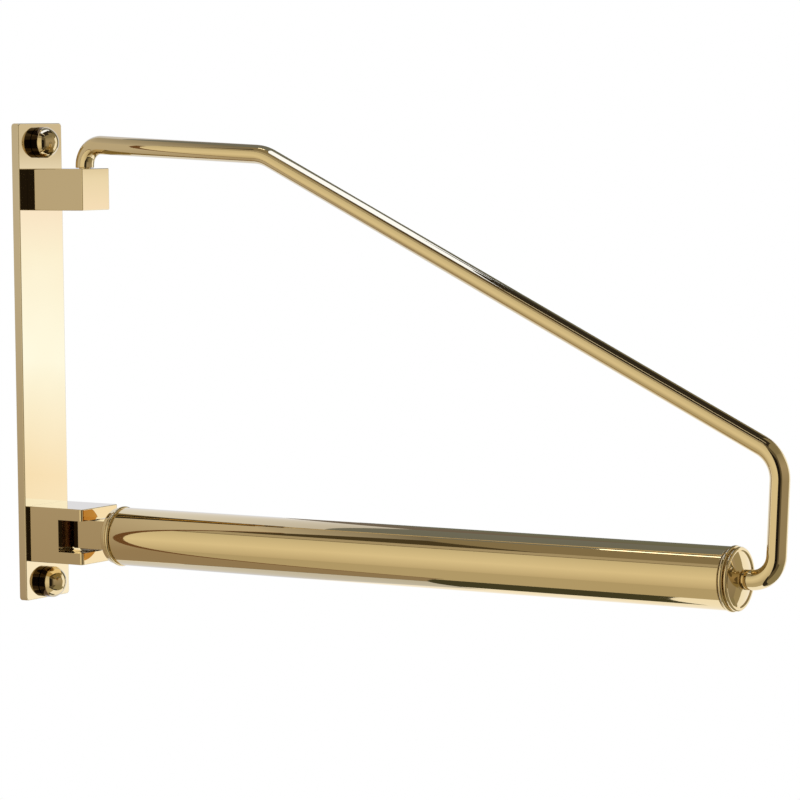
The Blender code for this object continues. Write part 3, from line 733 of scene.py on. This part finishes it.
class RAIL_OT_upper_block(bpy.types.Operator):
    """Models the square upper block with its hole for the rod's pivot"""

    bl_idname = "rail.upper_block"
    bl_label = "Upper Block"

    def execute(self, context):
        sizes = context.scene.bracket_sizes
        low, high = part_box("upper_block")
        high.y = plate_front() + CUT_SPARE
        block = add_bar("upper_block_shown", low, high)
        round_edges(block, sizes.edge_round)
        trim_seat(block)
        foot = Vector((HINGE.x, HINGE.y, high.z))
        floor = -(high.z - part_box("pivot_bush")[0].z) - GAP
        bore = sizes.pivot_bore / 2
        profile = [(floor, bore), (CUT_SPARE, bore)]
        combine(block, turn_solid("bore_cutter", profile, foot, UP, SMALL_SIDES), "DIFFERENCE")
        even_shading(block)
        finish = polished("block_plating", context.scene.rail_colours.block_gold)
        hand_over(block, "upper_block", finish)
        paint(frame["nodes"]["pivot_bush"], natural_nylon())
        return {"FINISHED"}


class RAIL_OT_hinge_fork(bpy.types.Operator):
    """Models the slotted hinge fork, its headed pin and the nylon washer under the tongue"""

    bl_idname = "rail.hinge_fork"
    bl_label = "Hinge Fork"

    def execute(self, context):
        sizes = context.scene.bracket_sizes
        low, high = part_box("hinge_fork")
        pin_low, pin_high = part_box("hinge_pin")
        head = (pin_high.x - pin_low.x) / 2
        shank = sizes.pin_shank / 2
        axis_foot = Vector((HINGE.x, HINGE.y, low.z))
        high.y = plate_front() + CUT_SPARE
        fork = add_bar("hinge_fork_shown", low, high)
        round_corners(fork, UP, sizes.fork_corner, lambda middle: middle.y < HINGE.y)
        round_edges(fork, sizes.edge_round)
        trim_seat(fork)
        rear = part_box("arm_root")[1].y + GAP
        half = sizes.slot_height / 2
        spare = Vector((CUT_SPARE, CUT_SPARE, 0.0))
        slot = add_bar("slot_cutter", Vector((low.x, low.y, HINGE.z - half)) - spare,
                       Vector((high.x + CUT_SPARE, rear, HINGE.z + half)))
        combine(fork, slot, "DIFFERENCE")
        seat = pin_low.z - low.z + sizes.pin_head + GAP
        top = pin_high.z - low.z + GAP
        profile = [(-CUT_SPARE, head + GAP), (seat, head + GAP), (seat, shank + GAP), (top, shank + GAP)]
        combine(fork, turn_solid("pin_cutter", profile, axis_foot, UP, SMALL_SIDES), "DIFFERENCE")
        even_shading(fork)
        hand_over(fork, "hinge_fork", polished("block_plating", context.scene.rail_colours.block_gold))

        bottom = pin_low.z - low.z
        edge = GAP
        profile = [(bottom, head - edge), (bottom + edge, head), (bottom + sizes.pin_head, head),
                   (bottom + sizes.pin_head, shank), (top - GAP - edge, shank), (top - GAP, shank - edge)]
        pin = turn_solid("hinge_pin_shown", profile, axis_foot, UP, SMALL_SIDES)
        cut_socket(pin, sizes.pin_socket, bottom - CUT_SPARE, bottom + sizes.socket_depth, axis_foot, UP)
        even_shading(pin)
        hand_over(pin, "hinge_pin", zinc_plating())

        washer_low, washer_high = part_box("thrust_washer")
        rim = (washer_high.x - washer_low.x) / 2
        thickness = washer_high.z - washer_low.z
        edge = sizes.washer_edge
        hole = shank + GAP
        profile = [(0.0, hole), (0.0, rim - edge), (edge, rim), (thickness - edge, rim),
                   (thickness, rim - edge), (thickness, hole)]
        washer_foot = Vector((HINGE.x, HINGE.y, washer_low.z))
        washer = turn_sleeve("thrust_washer_shown", profile, washer_foot, UP)
        even_shading(washer)
        hand_over(washer, "thrust_washer", natural_nylon())
        return {"FINISHED"}


class RAIL_OT_arm_root(bpy.types.Operator):
    """Models the hinge root: a square tongue with a round end, a shoulder and the plug in the rail"""

    bl_idname = "rail.arm_root"
    bl_label = "Hinge Root"

    def execute(self, context):
        sizes = context.scene.arm_sizes
        low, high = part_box("arm_root")
        rail_radius = (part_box("rail_tube")[1].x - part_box("rail_tube")[0].x) / 2
        swing_radius = high.y - HINGE.y
        half = sizes.tongue_width / 2
        middle = HINGE + UP * sizes.tongue_lift
        shoulder_face = -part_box("root_ring")[1].y - GAP
        shoulder_back = shoulder_face - sizes.shoulder_thickness
        fresh_start()
        bpy.ops.mesh.primitive_cylinder_add(vertices=2 * TURNED_SIDES, radius=swing_radius,
                                            depth=sizes.tongue_height, location=middle)
        root = settle("arm_root_shown")
        bpy.ops.object.mode_set(mode="EDIT")
        for side in (1.0, -1.0):
            bpy.ops.mesh.select_all(action="SELECT")
            bpy.ops.mesh.bisect(plane_co=(side * half, middle.y, middle.z), plane_no=(side, 0.0, 0.0),
                                use_fill=True, clear_outer=True)
        bpy.ops.mesh.select_all(action="SELECT")
        bpy.ops.mesh.bisect(plane_co=middle, plane_no=OUT, use_fill=True, clear_outer=True)
        reach = shoulder_back + sizes.shoulder_thickness / 2 + middle.y
        bpy.ops.mesh.extrude_region_move(TRANSFORM_OT_translate={"value": OUT * reach})
        point_faces_out()
        round_edges(root, sizes.tongue_edge)

        shoulder = rail_radius - sizes.shoulder_step
        plug = rail_radius - sizes.rail_wall - GAP
        edge = sizes.shoulder_edge
        chamfer = sizes.plug_chamfer
        end = -low.y
        profile = [(shoulder_back, shoulder - edge)]
        profile += arc(shoulder_back + edge, shoulder - edge, edge, -math.pi / 2, 0.0, EDGE_SEGMENTS)[1:]
        profile += arc(shoulder_face - edge, shoulder - edge, edge, 0.0, math.pi / 2, EDGE_SEGMENTS)
        profile += [(shoulder_face, plug), (end - chamfer, plug), (end, plug - chamfer)]
        rail_foot = Vector((HINGE.x, 0.0, HINGE.z))
        combine(root, turn_solid("stem", profile, rail_foot, OUT), "UNION")
        tall = sizes.tongue_height / 2 + CUT_SPARE
        bore = sizes.tongue_bore / 2
        combine(root, turn_solid("bore_cutter", [(-tall, bore), (tall, bore)], middle, UP, SMALL_SIDES),
                "DIFFERENCE")
        even_shading(root)
        hand_over(root, "arm_root", polished("rail_plating", context.scene.rail_colours.rail_gold))
        # The shoulder's back gets warm orange, a painted reflection for the fork's front to mirror.
        refinish(root, shoulder_painted_reflection(),
                 lambda face: face.normal.y > REAR_FACING and face.center.y < GAP - shoulder_back)
        # The tongue's round end in the slot gets painted shade.
        refinish(root, slot_painted_shade(),
                 lambda face: face.normal.y > REAR_FACING and face.center.y > HINGE.y + bore)
        paint(frame["nodes"]["tongue_bush"], turned_bronze())
        return {"FINISHED"}


class RAIL_OT_rail(bpy.types.Operator):
    """Models the round rail and the trim ring at each of its two ends"""

    bl_idname = "rail.rail"
    bl_label = "Rail and Rings"

    def execute(self, context):
        sizes = context.scene.arm_sizes
        finish = polished("rail_plating", context.scene.rail_colours.rail_gold)
        low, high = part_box("rail_tube")
        foot = Vector((HINGE.x, 0.0, HINGE.z))
        outer = (high.x - low.x) / 2
        inner = outer - sizes.rail_wall
        edge = sizes.rail_edge
        start = -high.y
        end = -low.y
        profile = [(start, inner)]
        profile += arc(start + edge, outer - edge, edge, -math.pi / 2, 0.0, EDGE_SEGMENTS)
        profile += arc(end - edge, outer - edge, edge, 0.0, math.pi / 2, EDGE_SEGMENTS)
        profile.append((end, inner))
        rail = turn_sleeve("rail_tube_shown", profile, foot, OUT, RAIL_SIDES)
        even_shading(rail)
        hand_over(rail, "rail_tube", finish)

        for node in RINGS:
            ring = self.turn_ring(node, inner, foot, sizes)
            even_shading(ring)
            hand_over(ring, node, finish)
        return {"FINISHED"}

    def turn_ring(self, node, bore, foot, sizes):
        """Turns a trim ring: a rounded bead, then a narrow neck that fills the rest of its length."""
        low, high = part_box(node)
        start = -high.y
        end = -low.y
        neck = bore + sizes.neck_wall
        half = sizes.bead_width / 2
        shoulder = (high.x - low.x) / 2 - sizes.bead_height
        profile = [(start, bore)]
        for i in range(2 * ARC_STEPS + 1):
            angle = math.pi * i / (2 * ARC_STEPS)
            along = start + half * (1 - math.cos(angle))
            profile.append((along, shoulder + sizes.bead_height * math.sin(angle)))
        profile += [(start + sizes.bead_width, neck), (end, neck), (end, bore)]
        return turn_sleeve(node + "_shown", profile, foot, OUT, RAIL_SIDES)


class RAIL_OT_end_cap(bpy.types.Operator):
    """Models the end cap: a rounded rim, a shallow dome round the rod's foot and a hollow plug"""

    bl_idname = "rail.end_cap"
    bl_label = "End Cap"

    def execute(self, context):
        sizes = context.scene.arm_sizes
        rod = context.scene.rod_sizes
        low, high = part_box("end_cap")
        rail_low, rail_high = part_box("rail_tube")
        nut_low, nut_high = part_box("rod_nut")
        rim = (high.x - low.x) / 2
        edge = sizes.rim_width / 2
        plug = (rail_high.x - rail_low.x) / 2 - sizes.rail_wall - GAP
        start = -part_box("end_ring")[0].y + GAP
        face = start + sizes.rim_width
        web = start - sizes.cap_web
        inside = -high.y
        pocket = (nut_high.z - nut_low.z) / 2 + 2 * sizes.plug_chamfer
        hole = rod.stud / 2 + GAP
        boss = rod.diameter / 2
        dome = rim - sizes.rim_band
        apex = -low.y
        profile = [(web, hole), (web, pocket), (inside, pocket), (inside, plug - sizes.plug_chamfer),
                   (inside + sizes.plug_chamfer, plug), (start, plug)]
        profile += arc(start + edge, rim - edge, edge, -math.pi / 2, math.pi / 2)
        profile += [(face, dome + sizes.rim_lip), (face - sizes.rim_lip, dome)]
        profile += crown(face - sizes.rim_lip, dome, apex - face + sizes.rim_lip, boss + GAP)[1:]
        profile += [(apex, boss), (apex, hole)]
        cap = turn_sleeve("end_cap_shown", profile, Vector((HINGE.x, 0.0, HINGE.z)), OUT, RAIL_SIDES)
        even_shading(cap)
        hand_over(cap, "end_cap", polished("rail_plating", context.scene.rail_colours.rail_gold))
        paint(frame["nodes"]["rod_nut"], zinc_plating())
        return {"FINISHED"}


class RAIL_OT_support_rod(bpy.types.Operator):
    """Bends the support rod from one bar: a pivot, four bends and a stud"""

    bl_idname = "rail.support_rod"
    bl_label = "Support Rod"

    def execute(self, context):
        sizes = context.scene.rod_sizes
        radius = sizes.diameter / 2
        pivot = sizes.pivot / 2
        edge = sizes.end_edge
        shoulder = Vector((HINGE.x, HINGE.y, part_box("upper_block")[1].z + GAP))
        top = Vector((HINGE.x, HINGE.y, self.top_height(sizes)))
        knee = top + OUT * sizes.top_length - UP * sizes.top_fall
        face = Vector((HINGE.x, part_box("end_cap")[0].y - GAP, HINGE.z))
        foot = face + OUT * (sizes.foot_straight + sizes.foot_bend)
        nose = foot + OUT * sizes.nose_lean + UP * sizes.nose_rise
        pivot_end = shoulder - UP * sizes.pivot_length
        rod = start_ring("support_rod_shown", SMALL_SIDES, pivot - edge, pivot_end, UP)
        profile = [(-sizes.pivot_length, pivot - edge), (edge - sizes.pivot_length, pivot), (0.0, pivot),
                   (0.0, radius - edge)]
        profile += arc(edge, radius - edge, edge, -math.pi / 2, 0.0, EDGE_SEGMENTS)[1:]
        draw_out(profile, shoulder, UP)
        place = shoulder + UP * edge
        course = UP
        bends = [(top, knee, sizes.top_bend), (knee, nose, sizes.knee_bend), (nose, foot, sizes.nose_bend),
                 (foot, face, sizes.foot_bend)]
        for corner, after, bend in bends:
            place, course = self.bend_on(place, course, corner, after, bend)
        bpy.ops.mesh.extrude_region_move(TRANSFORM_OT_translate={"value": face - course * edge - place})
        stud = sizes.stud / 2
        inside = self.stud_reach(sizes) - edge
        profile = [(-edge, radius)]
        profile += arc(-edge, radius - edge, edge, 0.0, math.pi / 2, EDGE_SEGMENTS)[1:]
        profile += [(0.0, stud), (inside, stud), (inside + edge, stud - edge)]
        draw_out(profile, face, course)
        bpy.ops.mesh.select_all(action="SELECT")
        bpy.ops.mesh.fill_holes(sides=0)
        point_faces_out()
        even_shading(rod)
        hand_over(rod, "support_rod", polished("rod_plating", context.scene.rail_colours.rod_gold))
        return {"FINISHED"}

    def top_height(self, sizes):
        """Height of the corner over the upper block, from the highest point of the CAD rod."""
        fall = math.atan2(sizes.top_fall, sizes.top_length)
        turn = math.pi / 2 + fall
        set_back = sizes.top_bend * math.tan(turn / 2)
        crest = set_back - sizes.top_bend - sizes.diameter / 2
        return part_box("support_rod")[1].z + crest

    def stud_reach(self, sizes):
        """Length of the stud behind the end cap's face, through its nut and past it."""
        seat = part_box("rod_nut")[1].y
        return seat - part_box("end_cap")[0].y + GAP + sizes.stud_proud

    def bend_on(self, place, course, corner, after, bend):
        """Draws the bar on to a corner and round it, and returns where it is then and its course."""
        onward = (after - corner).normalized()
        turn = course.angle(onward)
        set_back = bend * math.tan(turn / 2)
        start = corner - course * set_back
        bpy.ops.mesh.extrude_region_move(TRANSFORM_OT_translate={"value": start - place})
        inward = (onward - course * onward.dot(course)).normalized()
        bpy.ops.mesh.spin(steps=math.ceil(turn / BEND_STEP), angle=turn, center=start + inward * bend,
                          axis=inward.cross(course))
        return corner + onward * set_back, onward


# Camera that was fitted to the photograph's edges
VIEW_TARGET = Vector((0.01401, -0.180, -0.0119))
VIEW_AZIMUTH = math.radians(-57.34)
VIEW_ELEVATION = math.radians(4.51)
VIEW_ROLL = math.radians(-0.55)
VIEW_DISTANCE = 1.41686
SENSOR_WIDTH = 36.0
FOCAL_LENGTH = 153.95

# White surroundings as they are seen, and the light that they give
WHITE = (1.0, 1.0, 1.0, 1.0)
SEEN_STRENGTH = 1.0
LIGHT_TINT = (0.95, 0.97, 1.0, 1.0)
LIGHT_STRENGTH = 0.55

# Pale floor
FLOOR_SIZE = 12.0
FLOOR_HEIGHT = -0.62
FLOOR_TINT = (0.9, 0.9, 0.9, 1.0)
FLOOR_ROUGHNESS = 0.9

# Least share of a face's normal across a card
CARD_FACING = 0.5

# Tints that several cards have
NEAR_BLACK = (0.03, 0.025, 0.02)
COOL_WHITE = (1.15, 1.35, 2.0)

# Reflector cards of one tint that only mirrors see: name, lowest corner, highest corner and tint
PLAIN_CARDS = [
    ("wall_board_edge", (-0.111, 0.018, -0.45), (-0.103, 0.019, 0.14), (0.16, 0.08, 0.035)),
    ("room_behind", (0.0, 0.900, 0.10), (2.0, 0.901, 2.0), (0.17, 0.15, 0.14)),
    ("left_upper_panel", (-0.751, -0.46, 0.66), (-0.750, 1.6, 1.4), (0.42, 0.37, 0.28)),
    ("left_gap", (-0.761, -0.46, 0.61), (-0.760, 1.6, 0.67), (0.12, 0.09, 0.05)),
    ("left_table", (-1.2, -0.35, -0.610), (-0.111, 1.4, -0.609), (0.50, 0.44, 0.31)),
    ("camera_gap", (-0.741, -0.90, -0.60), (-0.740, -0.45, 0.42), (0.015, 0.012, 0.01)),
    ("front_left_panel", (-0.751, -1.4, -0.62), (-0.750, -0.46, 1.4), (0.12, 0.10, 0.065)),
    ("front_table_left", (-1.2, -1.6, -0.606), (-0.3, -0.35, -0.605), (0.11, 0.09, 0.055)),
    ("front_table", (-0.3, -1.6, -0.606), (1.0, -0.35, -0.605), (0.27, 0.24, 0.15)),
    ("front_table_edge", (-1.2, -0.45, -0.600), (0.12, -0.35, -0.599), NEAR_BLACK),
    ("right_panel", (0.900, -1.35, -0.60), (0.901, -0.86, 0.9), (0.36, 0.31, 0.20)),
    ("right_side_panel", (0.900, -0.28, -0.60), (0.901, -0.05, 0.9), (0.20, 0.18, 0.11)),
    ("right_back_panel", (0.900, -0.05, -0.10), (0.901, 0.42, 1.2), (0.16, 0.17, 0.14)),
    ("under_rail", (-0.11, -0.043, -0.606), (0.22, 0.3, -0.605), (0.06, 0.06, 0.035)),
    ("ceiling_far_front", (-0.7, -1.6, 0.91), (2.0, -0.42, 0.911), (0.24, 0.21, 0.14)),
    ("ceiling_far_left", (-0.7, -0.72, 0.90), (0.2, -0.42, 0.901), NEAR_BLACK),
    ("ceiling_front", (-0.7, -0.42, 0.90), (2.0, -0.213, 0.901), NEAR_BLACK),
    ("ceiling_softbox", (-0.30, -0.15, 0.90), (0.6, -0.02, 0.901), COOL_WHITE),
    ("ceiling_softbox_front", (-0.30, -0.213, 0.90), (0.25, -0.15, 0.901), COOL_WHITE),
    ("ceiling_left", (-0.7, -0.213, 0.90), (-0.30, -0.02, 0.901), (0.10, 0.075, 0.04)),
    ("ceiling_right", (0.25, -0.213, 0.91), (2.0, -0.02, 0.911), (0.05, 0.05, 0.05)),
    ("ceiling_middle_left", (-0.7, -0.02, 0.90), (-0.05, 0.42, 0.901), (0.25, 0.21, 0.14)),
    ("ceiling_back_left", (-0.7, 0.42, 0.90), (-0.05, 1.0, 0.901), (0.07, 0.055, 0.03)),
    ("ceiling_back", (-0.05, -0.02, 0.90), (0.8, 1.0, 0.901), (0.175, 0.19, 0.20)),
    ("ceiling_strip", (-0.07, 0.02, 0.70), (-0.03, 0.14, 0.701), (3.0, 2.9, 2.7)),
    ("ceiling_line", (-0.34, -0.60, 0.88), (-0.28, -0.21, 0.881), (0.9, 0.85, 0.75)),
]

# Upright cards whose tint changes: name, lowest corner, highest corner and (height, tint) from foot to head
GRADED_CARDS = [
    ("wall_board", (-0.111, 0.020, -0.45), (0.013, 0.021, 0.14),
     [(-0.45, (0.30, 0.24, 0.17)), (-0.16, (0.34, 0.27, 0.19)), (0.05, (0.54, 0.49, 0.41))]),
    ("wall_board_head", (-0.111, 0.020, 0.14), (0.013, 0.021, 0.30),
     [(0.14, (0.50, 0.46, 0.40)), (0.30, (0.20, 0.18, 0.15))]),
    ("wall_backdrop", (0.016, 0.020, -0.45), (0.22, 0.021, 0.20),
     [(-0.45, (0.55, 0.57, 0.62)), (0.0, (0.80, 0.85, 1.0)), (0.20, (0.6, 0.62, 0.72))]),
    ("left_panel", (-0.751, -0.46, -0.62), (-0.750, 1.6, 0.62),
     [(-0.60, (0.57, 0.50, 0.36)), (-0.05, (0.78, 0.71, 0.54)), (0.60, (0.61, 0.56, 0.42))]),
    ("front_panel", (-0.76, -1.301, -0.60), (0.91, -1.300, 0.9),
     [(-0.6, (0.27, 0.23, 0.16)), (0.3, (0.40, 0.34, 0.25)), (0.9, (0.28, 0.25, 0.17))]),
    ("right_softbox", (0.350, -0.345, -0.32), (0.351, -0.255, 0.13),
     [(-0.30, (1.0, 0.98, 0.95)), (-0.16, (1.04, 1.02, 1.0)), (-0.095, (1.04, 0.96, 0.86)),
      (-0.03, (1.1, 1.2, 1.35)), (0.03, (1.07, 1.1, 1.15)), (0.055, (1.04, 0.99, 1.02)),
      (0.075, (0.93, 0.90, 0.86)), (0.092, (0.66, 0.59, 0.48))]),
]

# Lamps: name, place, watts and size
LAMPS = [
    ("key_lamp", (-0.9, -0.9, 1.1), 9.0, 0.7),
    ("fill_lamp", (0.9, -0.8, 0.4), 5.0, 0.8),
    ("top_lamp", (0.1, 0.5, 1.2), 5.0, 0.8),
]


class RAIL_OT_stage(bpy.types.Operator):
    """Sets up the camera, the white background, the pale floor, the reflector cards and the lamps"""

    bl_idname = "rail.stage"
    bl_label = "Studio"

    def execute(self, context):
        self.add_camera(context)
        self.paint_world(context)
        self.add_floor()
        self.add_cards()
        self.add_lamps()
        context.scene.view_settings.view_transform = "Standard"
        return {"FINISHED"}

    def add_camera(self, context):
        """Puts the camera where the photograph was taken from."""
        fresh_start()
        level = math.cos(VIEW_ELEVATION)
        back = Vector((math.sin(VIEW_AZIMUTH) * level, -math.cos(VIEW_AZIMUTH) * level,
                       math.sin(VIEW_ELEVATION)))
        turn = back.to_track_quat("Z", "Y").to_euler()
        bpy.ops.object.camera_add(location=VIEW_TARGET + back * VIEW_DISTANCE, rotation=turn)
        camera = context.object
        camera.name = "photo_camera"
        camera.rotation_euler.rotate_axis("Z", VIEW_ROLL)
        camera.data.sensor_width = SENSOR_WIDTH
        camera.data.lens = FOCAL_LENGTH
        context.scene.camera = camera

    def seen_directly(self, nodes, links):
        """A mask for rays from the camera, from mirrors and through glass."""
        path = nodes.new("ShaderNodeLightPath")
        first = nodes.new("ShaderNodeMath")
        first.operation = "MAXIMUM"
        second = nodes.new("ShaderNodeMath")
        second.operation = "MAXIMUM"
        links.new(path.outputs["Is Camera Ray"], first.inputs[0])
        links.new(path.outputs["Is Glossy Ray"], first.inputs[1])
        links.new(first.outputs[0], second.inputs[0])
        links.new(path.outputs["Is Transmission Ray"], second.inputs[1])
        return second.outputs[0]

    def paint_world(self, context):
        """Makes the surroundings white where they are seen, and a softer light for all else."""
        world = bpy.data.worlds.new("white_studio")
        context.scene.world = world
        world.use_nodes = True
        nodes, links = world.node_tree.nodes, world.node_tree.links
        nodes.clear()
        lit = nodes.new("ShaderNodeBackground")
        lit.inputs["Color"].default_value = LIGHT_TINT
        lit.inputs["Strength"].default_value = LIGHT_STRENGTH
        seen = nodes.new("ShaderNodeBackground")
        seen.inputs["Color"].default_value = WHITE
        seen.inputs["Strength"].default_value = SEEN_STRENGTH
        blend = nodes.new("ShaderNodeMixShader")
        outlet = nodes.new("ShaderNodeOutputWorld")
        links.new(self.seen_directly(nodes, links), blend.inputs["Fac"])
        links.new(lit.outputs[0], blend.inputs[1])
        links.new(seen.outputs[0], blend.inputs[2])
        links.new(blend.outputs[0], outlet.inputs["Surface"])

    def add_floor(self):
        """Lays the pale floor, which is white where it is seen and keeps the shadow."""
        fresh_start()
        bpy.ops.mesh.primitive_plane_add(size=FLOOR_SIZE, location=(0.0, 0.0, FLOOR_HEIGHT))
        floor = settle("studio_floor")
        material = bpy.data.materials.new("pale_floor")
        material.use_nodes = True
        nodes, links = material.node_tree.nodes, material.node_tree.links
        shader = nodes["Principled BSDF"]
        shader.inputs["Base Color"].default_value = FLOOR_TINT
        shader.inputs["Roughness"].default_value = FLOOR_ROUGHNESS
        shader.inputs["Specular IOR Level"].default_value = 0.0
        glow = nodes.new("ShaderNodeEmission")
        glow.inputs["Color"].default_value = WHITE
        blend = nodes.new("ShaderNodeMixShader")
        links.new(self.seen_directly(nodes, links), blend.inputs["Fac"])
        links.new(shader.outputs[0], blend.inputs[1])
        links.new(glow.outputs[0], blend.inputs[2])
        links.new(blend.outputs[0], nodes["Material Output"].inputs["Surface"])
        floor.data.materials.append(material)

    def add_cards(self):
        """Adds the reflector cards and sets their tints."""
        for name, low, high, tint in PLAIN_CARDS:
            glow = self.add_card(name, Vector(low), Vector(high))
            glow.inputs["Color"].default_value = (*tint, 1.0)
        for name, low, high, tints in GRADED_CARDS:
            glow = self.add_card(name, Vector(low), Vector(high))
            self.grade(glow, Vector(low).z, Vector(high).z, tints)

    def add_card(self, name, low, high):
        """Adds a glowing card between two corners that only mirrors see, and returns its glow."""
        size = high - low
        thin = min(range(3), key=lambda i: size[i])
        fresh_start()
        bpy.ops.mesh.primitive_cube_add(size=1.0, location=(low + high) / 2, scale=size)
        card = settle(name)
        bpy.ops.object.mode_set(mode="EDIT")
        bpy.ops.mesh.select_mode(type="FACE")
        bpy.ops.mesh.select_all(action="DESELECT")
        bpy.ops.object.mode_set(mode="OBJECT")
        for face in card.data.polygons:
            face.select = abs(face.normal[thin]) < CARD_FACING or face.normal[thin] < 0.0
        bpy.ops.object.mode_set(mode="EDIT")
        bpy.ops.mesh.delete(type="FACE")
        bpy.ops.object.mode_set(mode="OBJECT")
        material = bpy.data.materials.new(name + "_glow")
        material.use_nodes = True
        material.cycles.emission_sampling = "NONE"
        nodes, links = material.node_tree.nodes, material.node_tree.links
        nodes.remove(nodes["Principled BSDF"])
        glow = nodes.new("ShaderNodeEmission")
        links.new(glow.outputs[0], nodes["Material Output"].inputs["Surface"])
        card.data.materials.append(material)
        card.visible_camera = False
        card.visible_diffuse = False
        card.visible_shadow = False
        return glow

    def grade(self, glow, foot, head, tints):
        """Makes a card's glow change from tint to tint between its foot and its head."""
        nodes, links = glow.id_data.nodes, glow.id_data.links
        place = nodes.new("ShaderNodeTexCoord")
        split = nodes.new("ShaderNodeSeparateXYZ")
        climb = nodes.new("ShaderNodeMapRange")
        climb.inputs["From Min"].default_value = foot
        climb.inputs["From Max"].default_value = head
        ramp = nodes.new("ShaderNodeValToRGB")
        stops = ramp.color_ramp.elements
        while len(stops) < len(tints):
            stops.new(1.0)
        for stop, (height, tint) in zip(stops, tints):
            stop.position = (height - foot) / (head - foot)
            stop.color = (*tint, 1.0)
        links.new(place.outputs["Object"], split.inputs[0])
        links.new(split.outputs["Z"], climb.inputs["Value"])
        links.new(climb.outputs["Result"], ramp.inputs["Fac"])
        links.new(ramp.outputs["Color"], glow.inputs["Color"])

    def add_lamps(self):
        """Adds soft lamps that light the pieces and that mirrors don't see."""
        for name, place, energy, size in LAMPS:
            fresh_start()
            aim = (Vector(place) - VIEW_TARGET).to_track_quat("Z", "Y").to_euler()
            bpy.ops.object.light_add(type="AREA", location=place, rotation=aim)
            lamp = bpy.context.object
            lamp.name = name
            lamp.data.energy = energy
            lamp.data.size = size
            lamp.visible_glossy = False


class RAIL_PT_sidebar(bpy.types.Panel):
    """Lists the sizes, the colours and the pieces of the clothes rail"""

    bl_idname = "RAIL_PT_sidebar"
    bl_label = "Clothes Rail"
    bl_space_type = "VIEW_3D"
    bl_region_type = "UI"
    bl_category = "Clothes Rail"

    def draw(self, context):
        """Draws a box for each property group and a button for each operator."""
        layout = self.layout
        for group_name in PROPERTY_GROUPS:
            box = layout.box()
            group = getattr(context.scene, group_name)
            for item in group.bl_rna.properties:
                if item.identifier not in {"rna_type", "name"}:
                    box.prop(group, item.identifier)
        column = layout.column(align=True)
        for operator in OPERATORS:
            column.operator(operator.bl_idname)


PROPERTY_GROUPS = {
    "bracket_sizes": BracketSizes,
    "arm_sizes": ArmSizes,
    "rod_sizes": RodSizes,
    "rail_colours": FinishColours,
}
OPERATORS = [
    RAIL_OT_wall_plate,
    RAIL_OT_plate_screws,
    RAIL_OT_wall_fixings,
    RAIL_OT_upper_block,
    RAIL_OT_hinge_fork,
    RAIL_OT_arm_root,
    RAIL_OT_rail,
    RAIL_OT_end_cap,
    RAIL_OT_support_rod,
    RAIL_OT_stage,
]


def register():
    """Adds the property groups, the operators and the panel to Blender."""
    for group_name, group in PROPERTY_GROUPS.items():
        bpy.utils.register_class(group)
        setattr(bpy.types.Scene, group_name, bpy.props.PointerProperty(type=group))
    for operator in OPERATORS:
        bpy.utils.register_class(operator)
    bpy.utils.register_class(RAIL_PT_sidebar)


def unregister():
    """Takes the panel, the operators and the property groups out again."""
    bpy.utils.unregister_class(RAIL_PT_sidebar)
    for operator in reversed(OPERATORS):
        bpy.utils.unregister_class(operator)
    for group_name, group in reversed(PROPERTY_GROUPS.items()):
        delattr(bpy.types.Scene, group_name)
        bpy.utils.unregister_class(group)


def main():
    """Models every piece and the studio."""
    register()
    bpy.ops.rail.wall_plate()
    bpy.ops.rail.plate_screws()
    bpy.ops.rail.wall_fixings()
    bpy.ops.rail.upper_block()
    bpy.ops.rail.hinge_fork()
    bpy.ops.rail.arm_root()
    bpy.ops.rail.rail()
    bpy.ops.rail.end_cap()
    bpy.ops.rail.support_rod()
    bpy.ops.rail.stage()


if __name__ == "__main__":
    main()
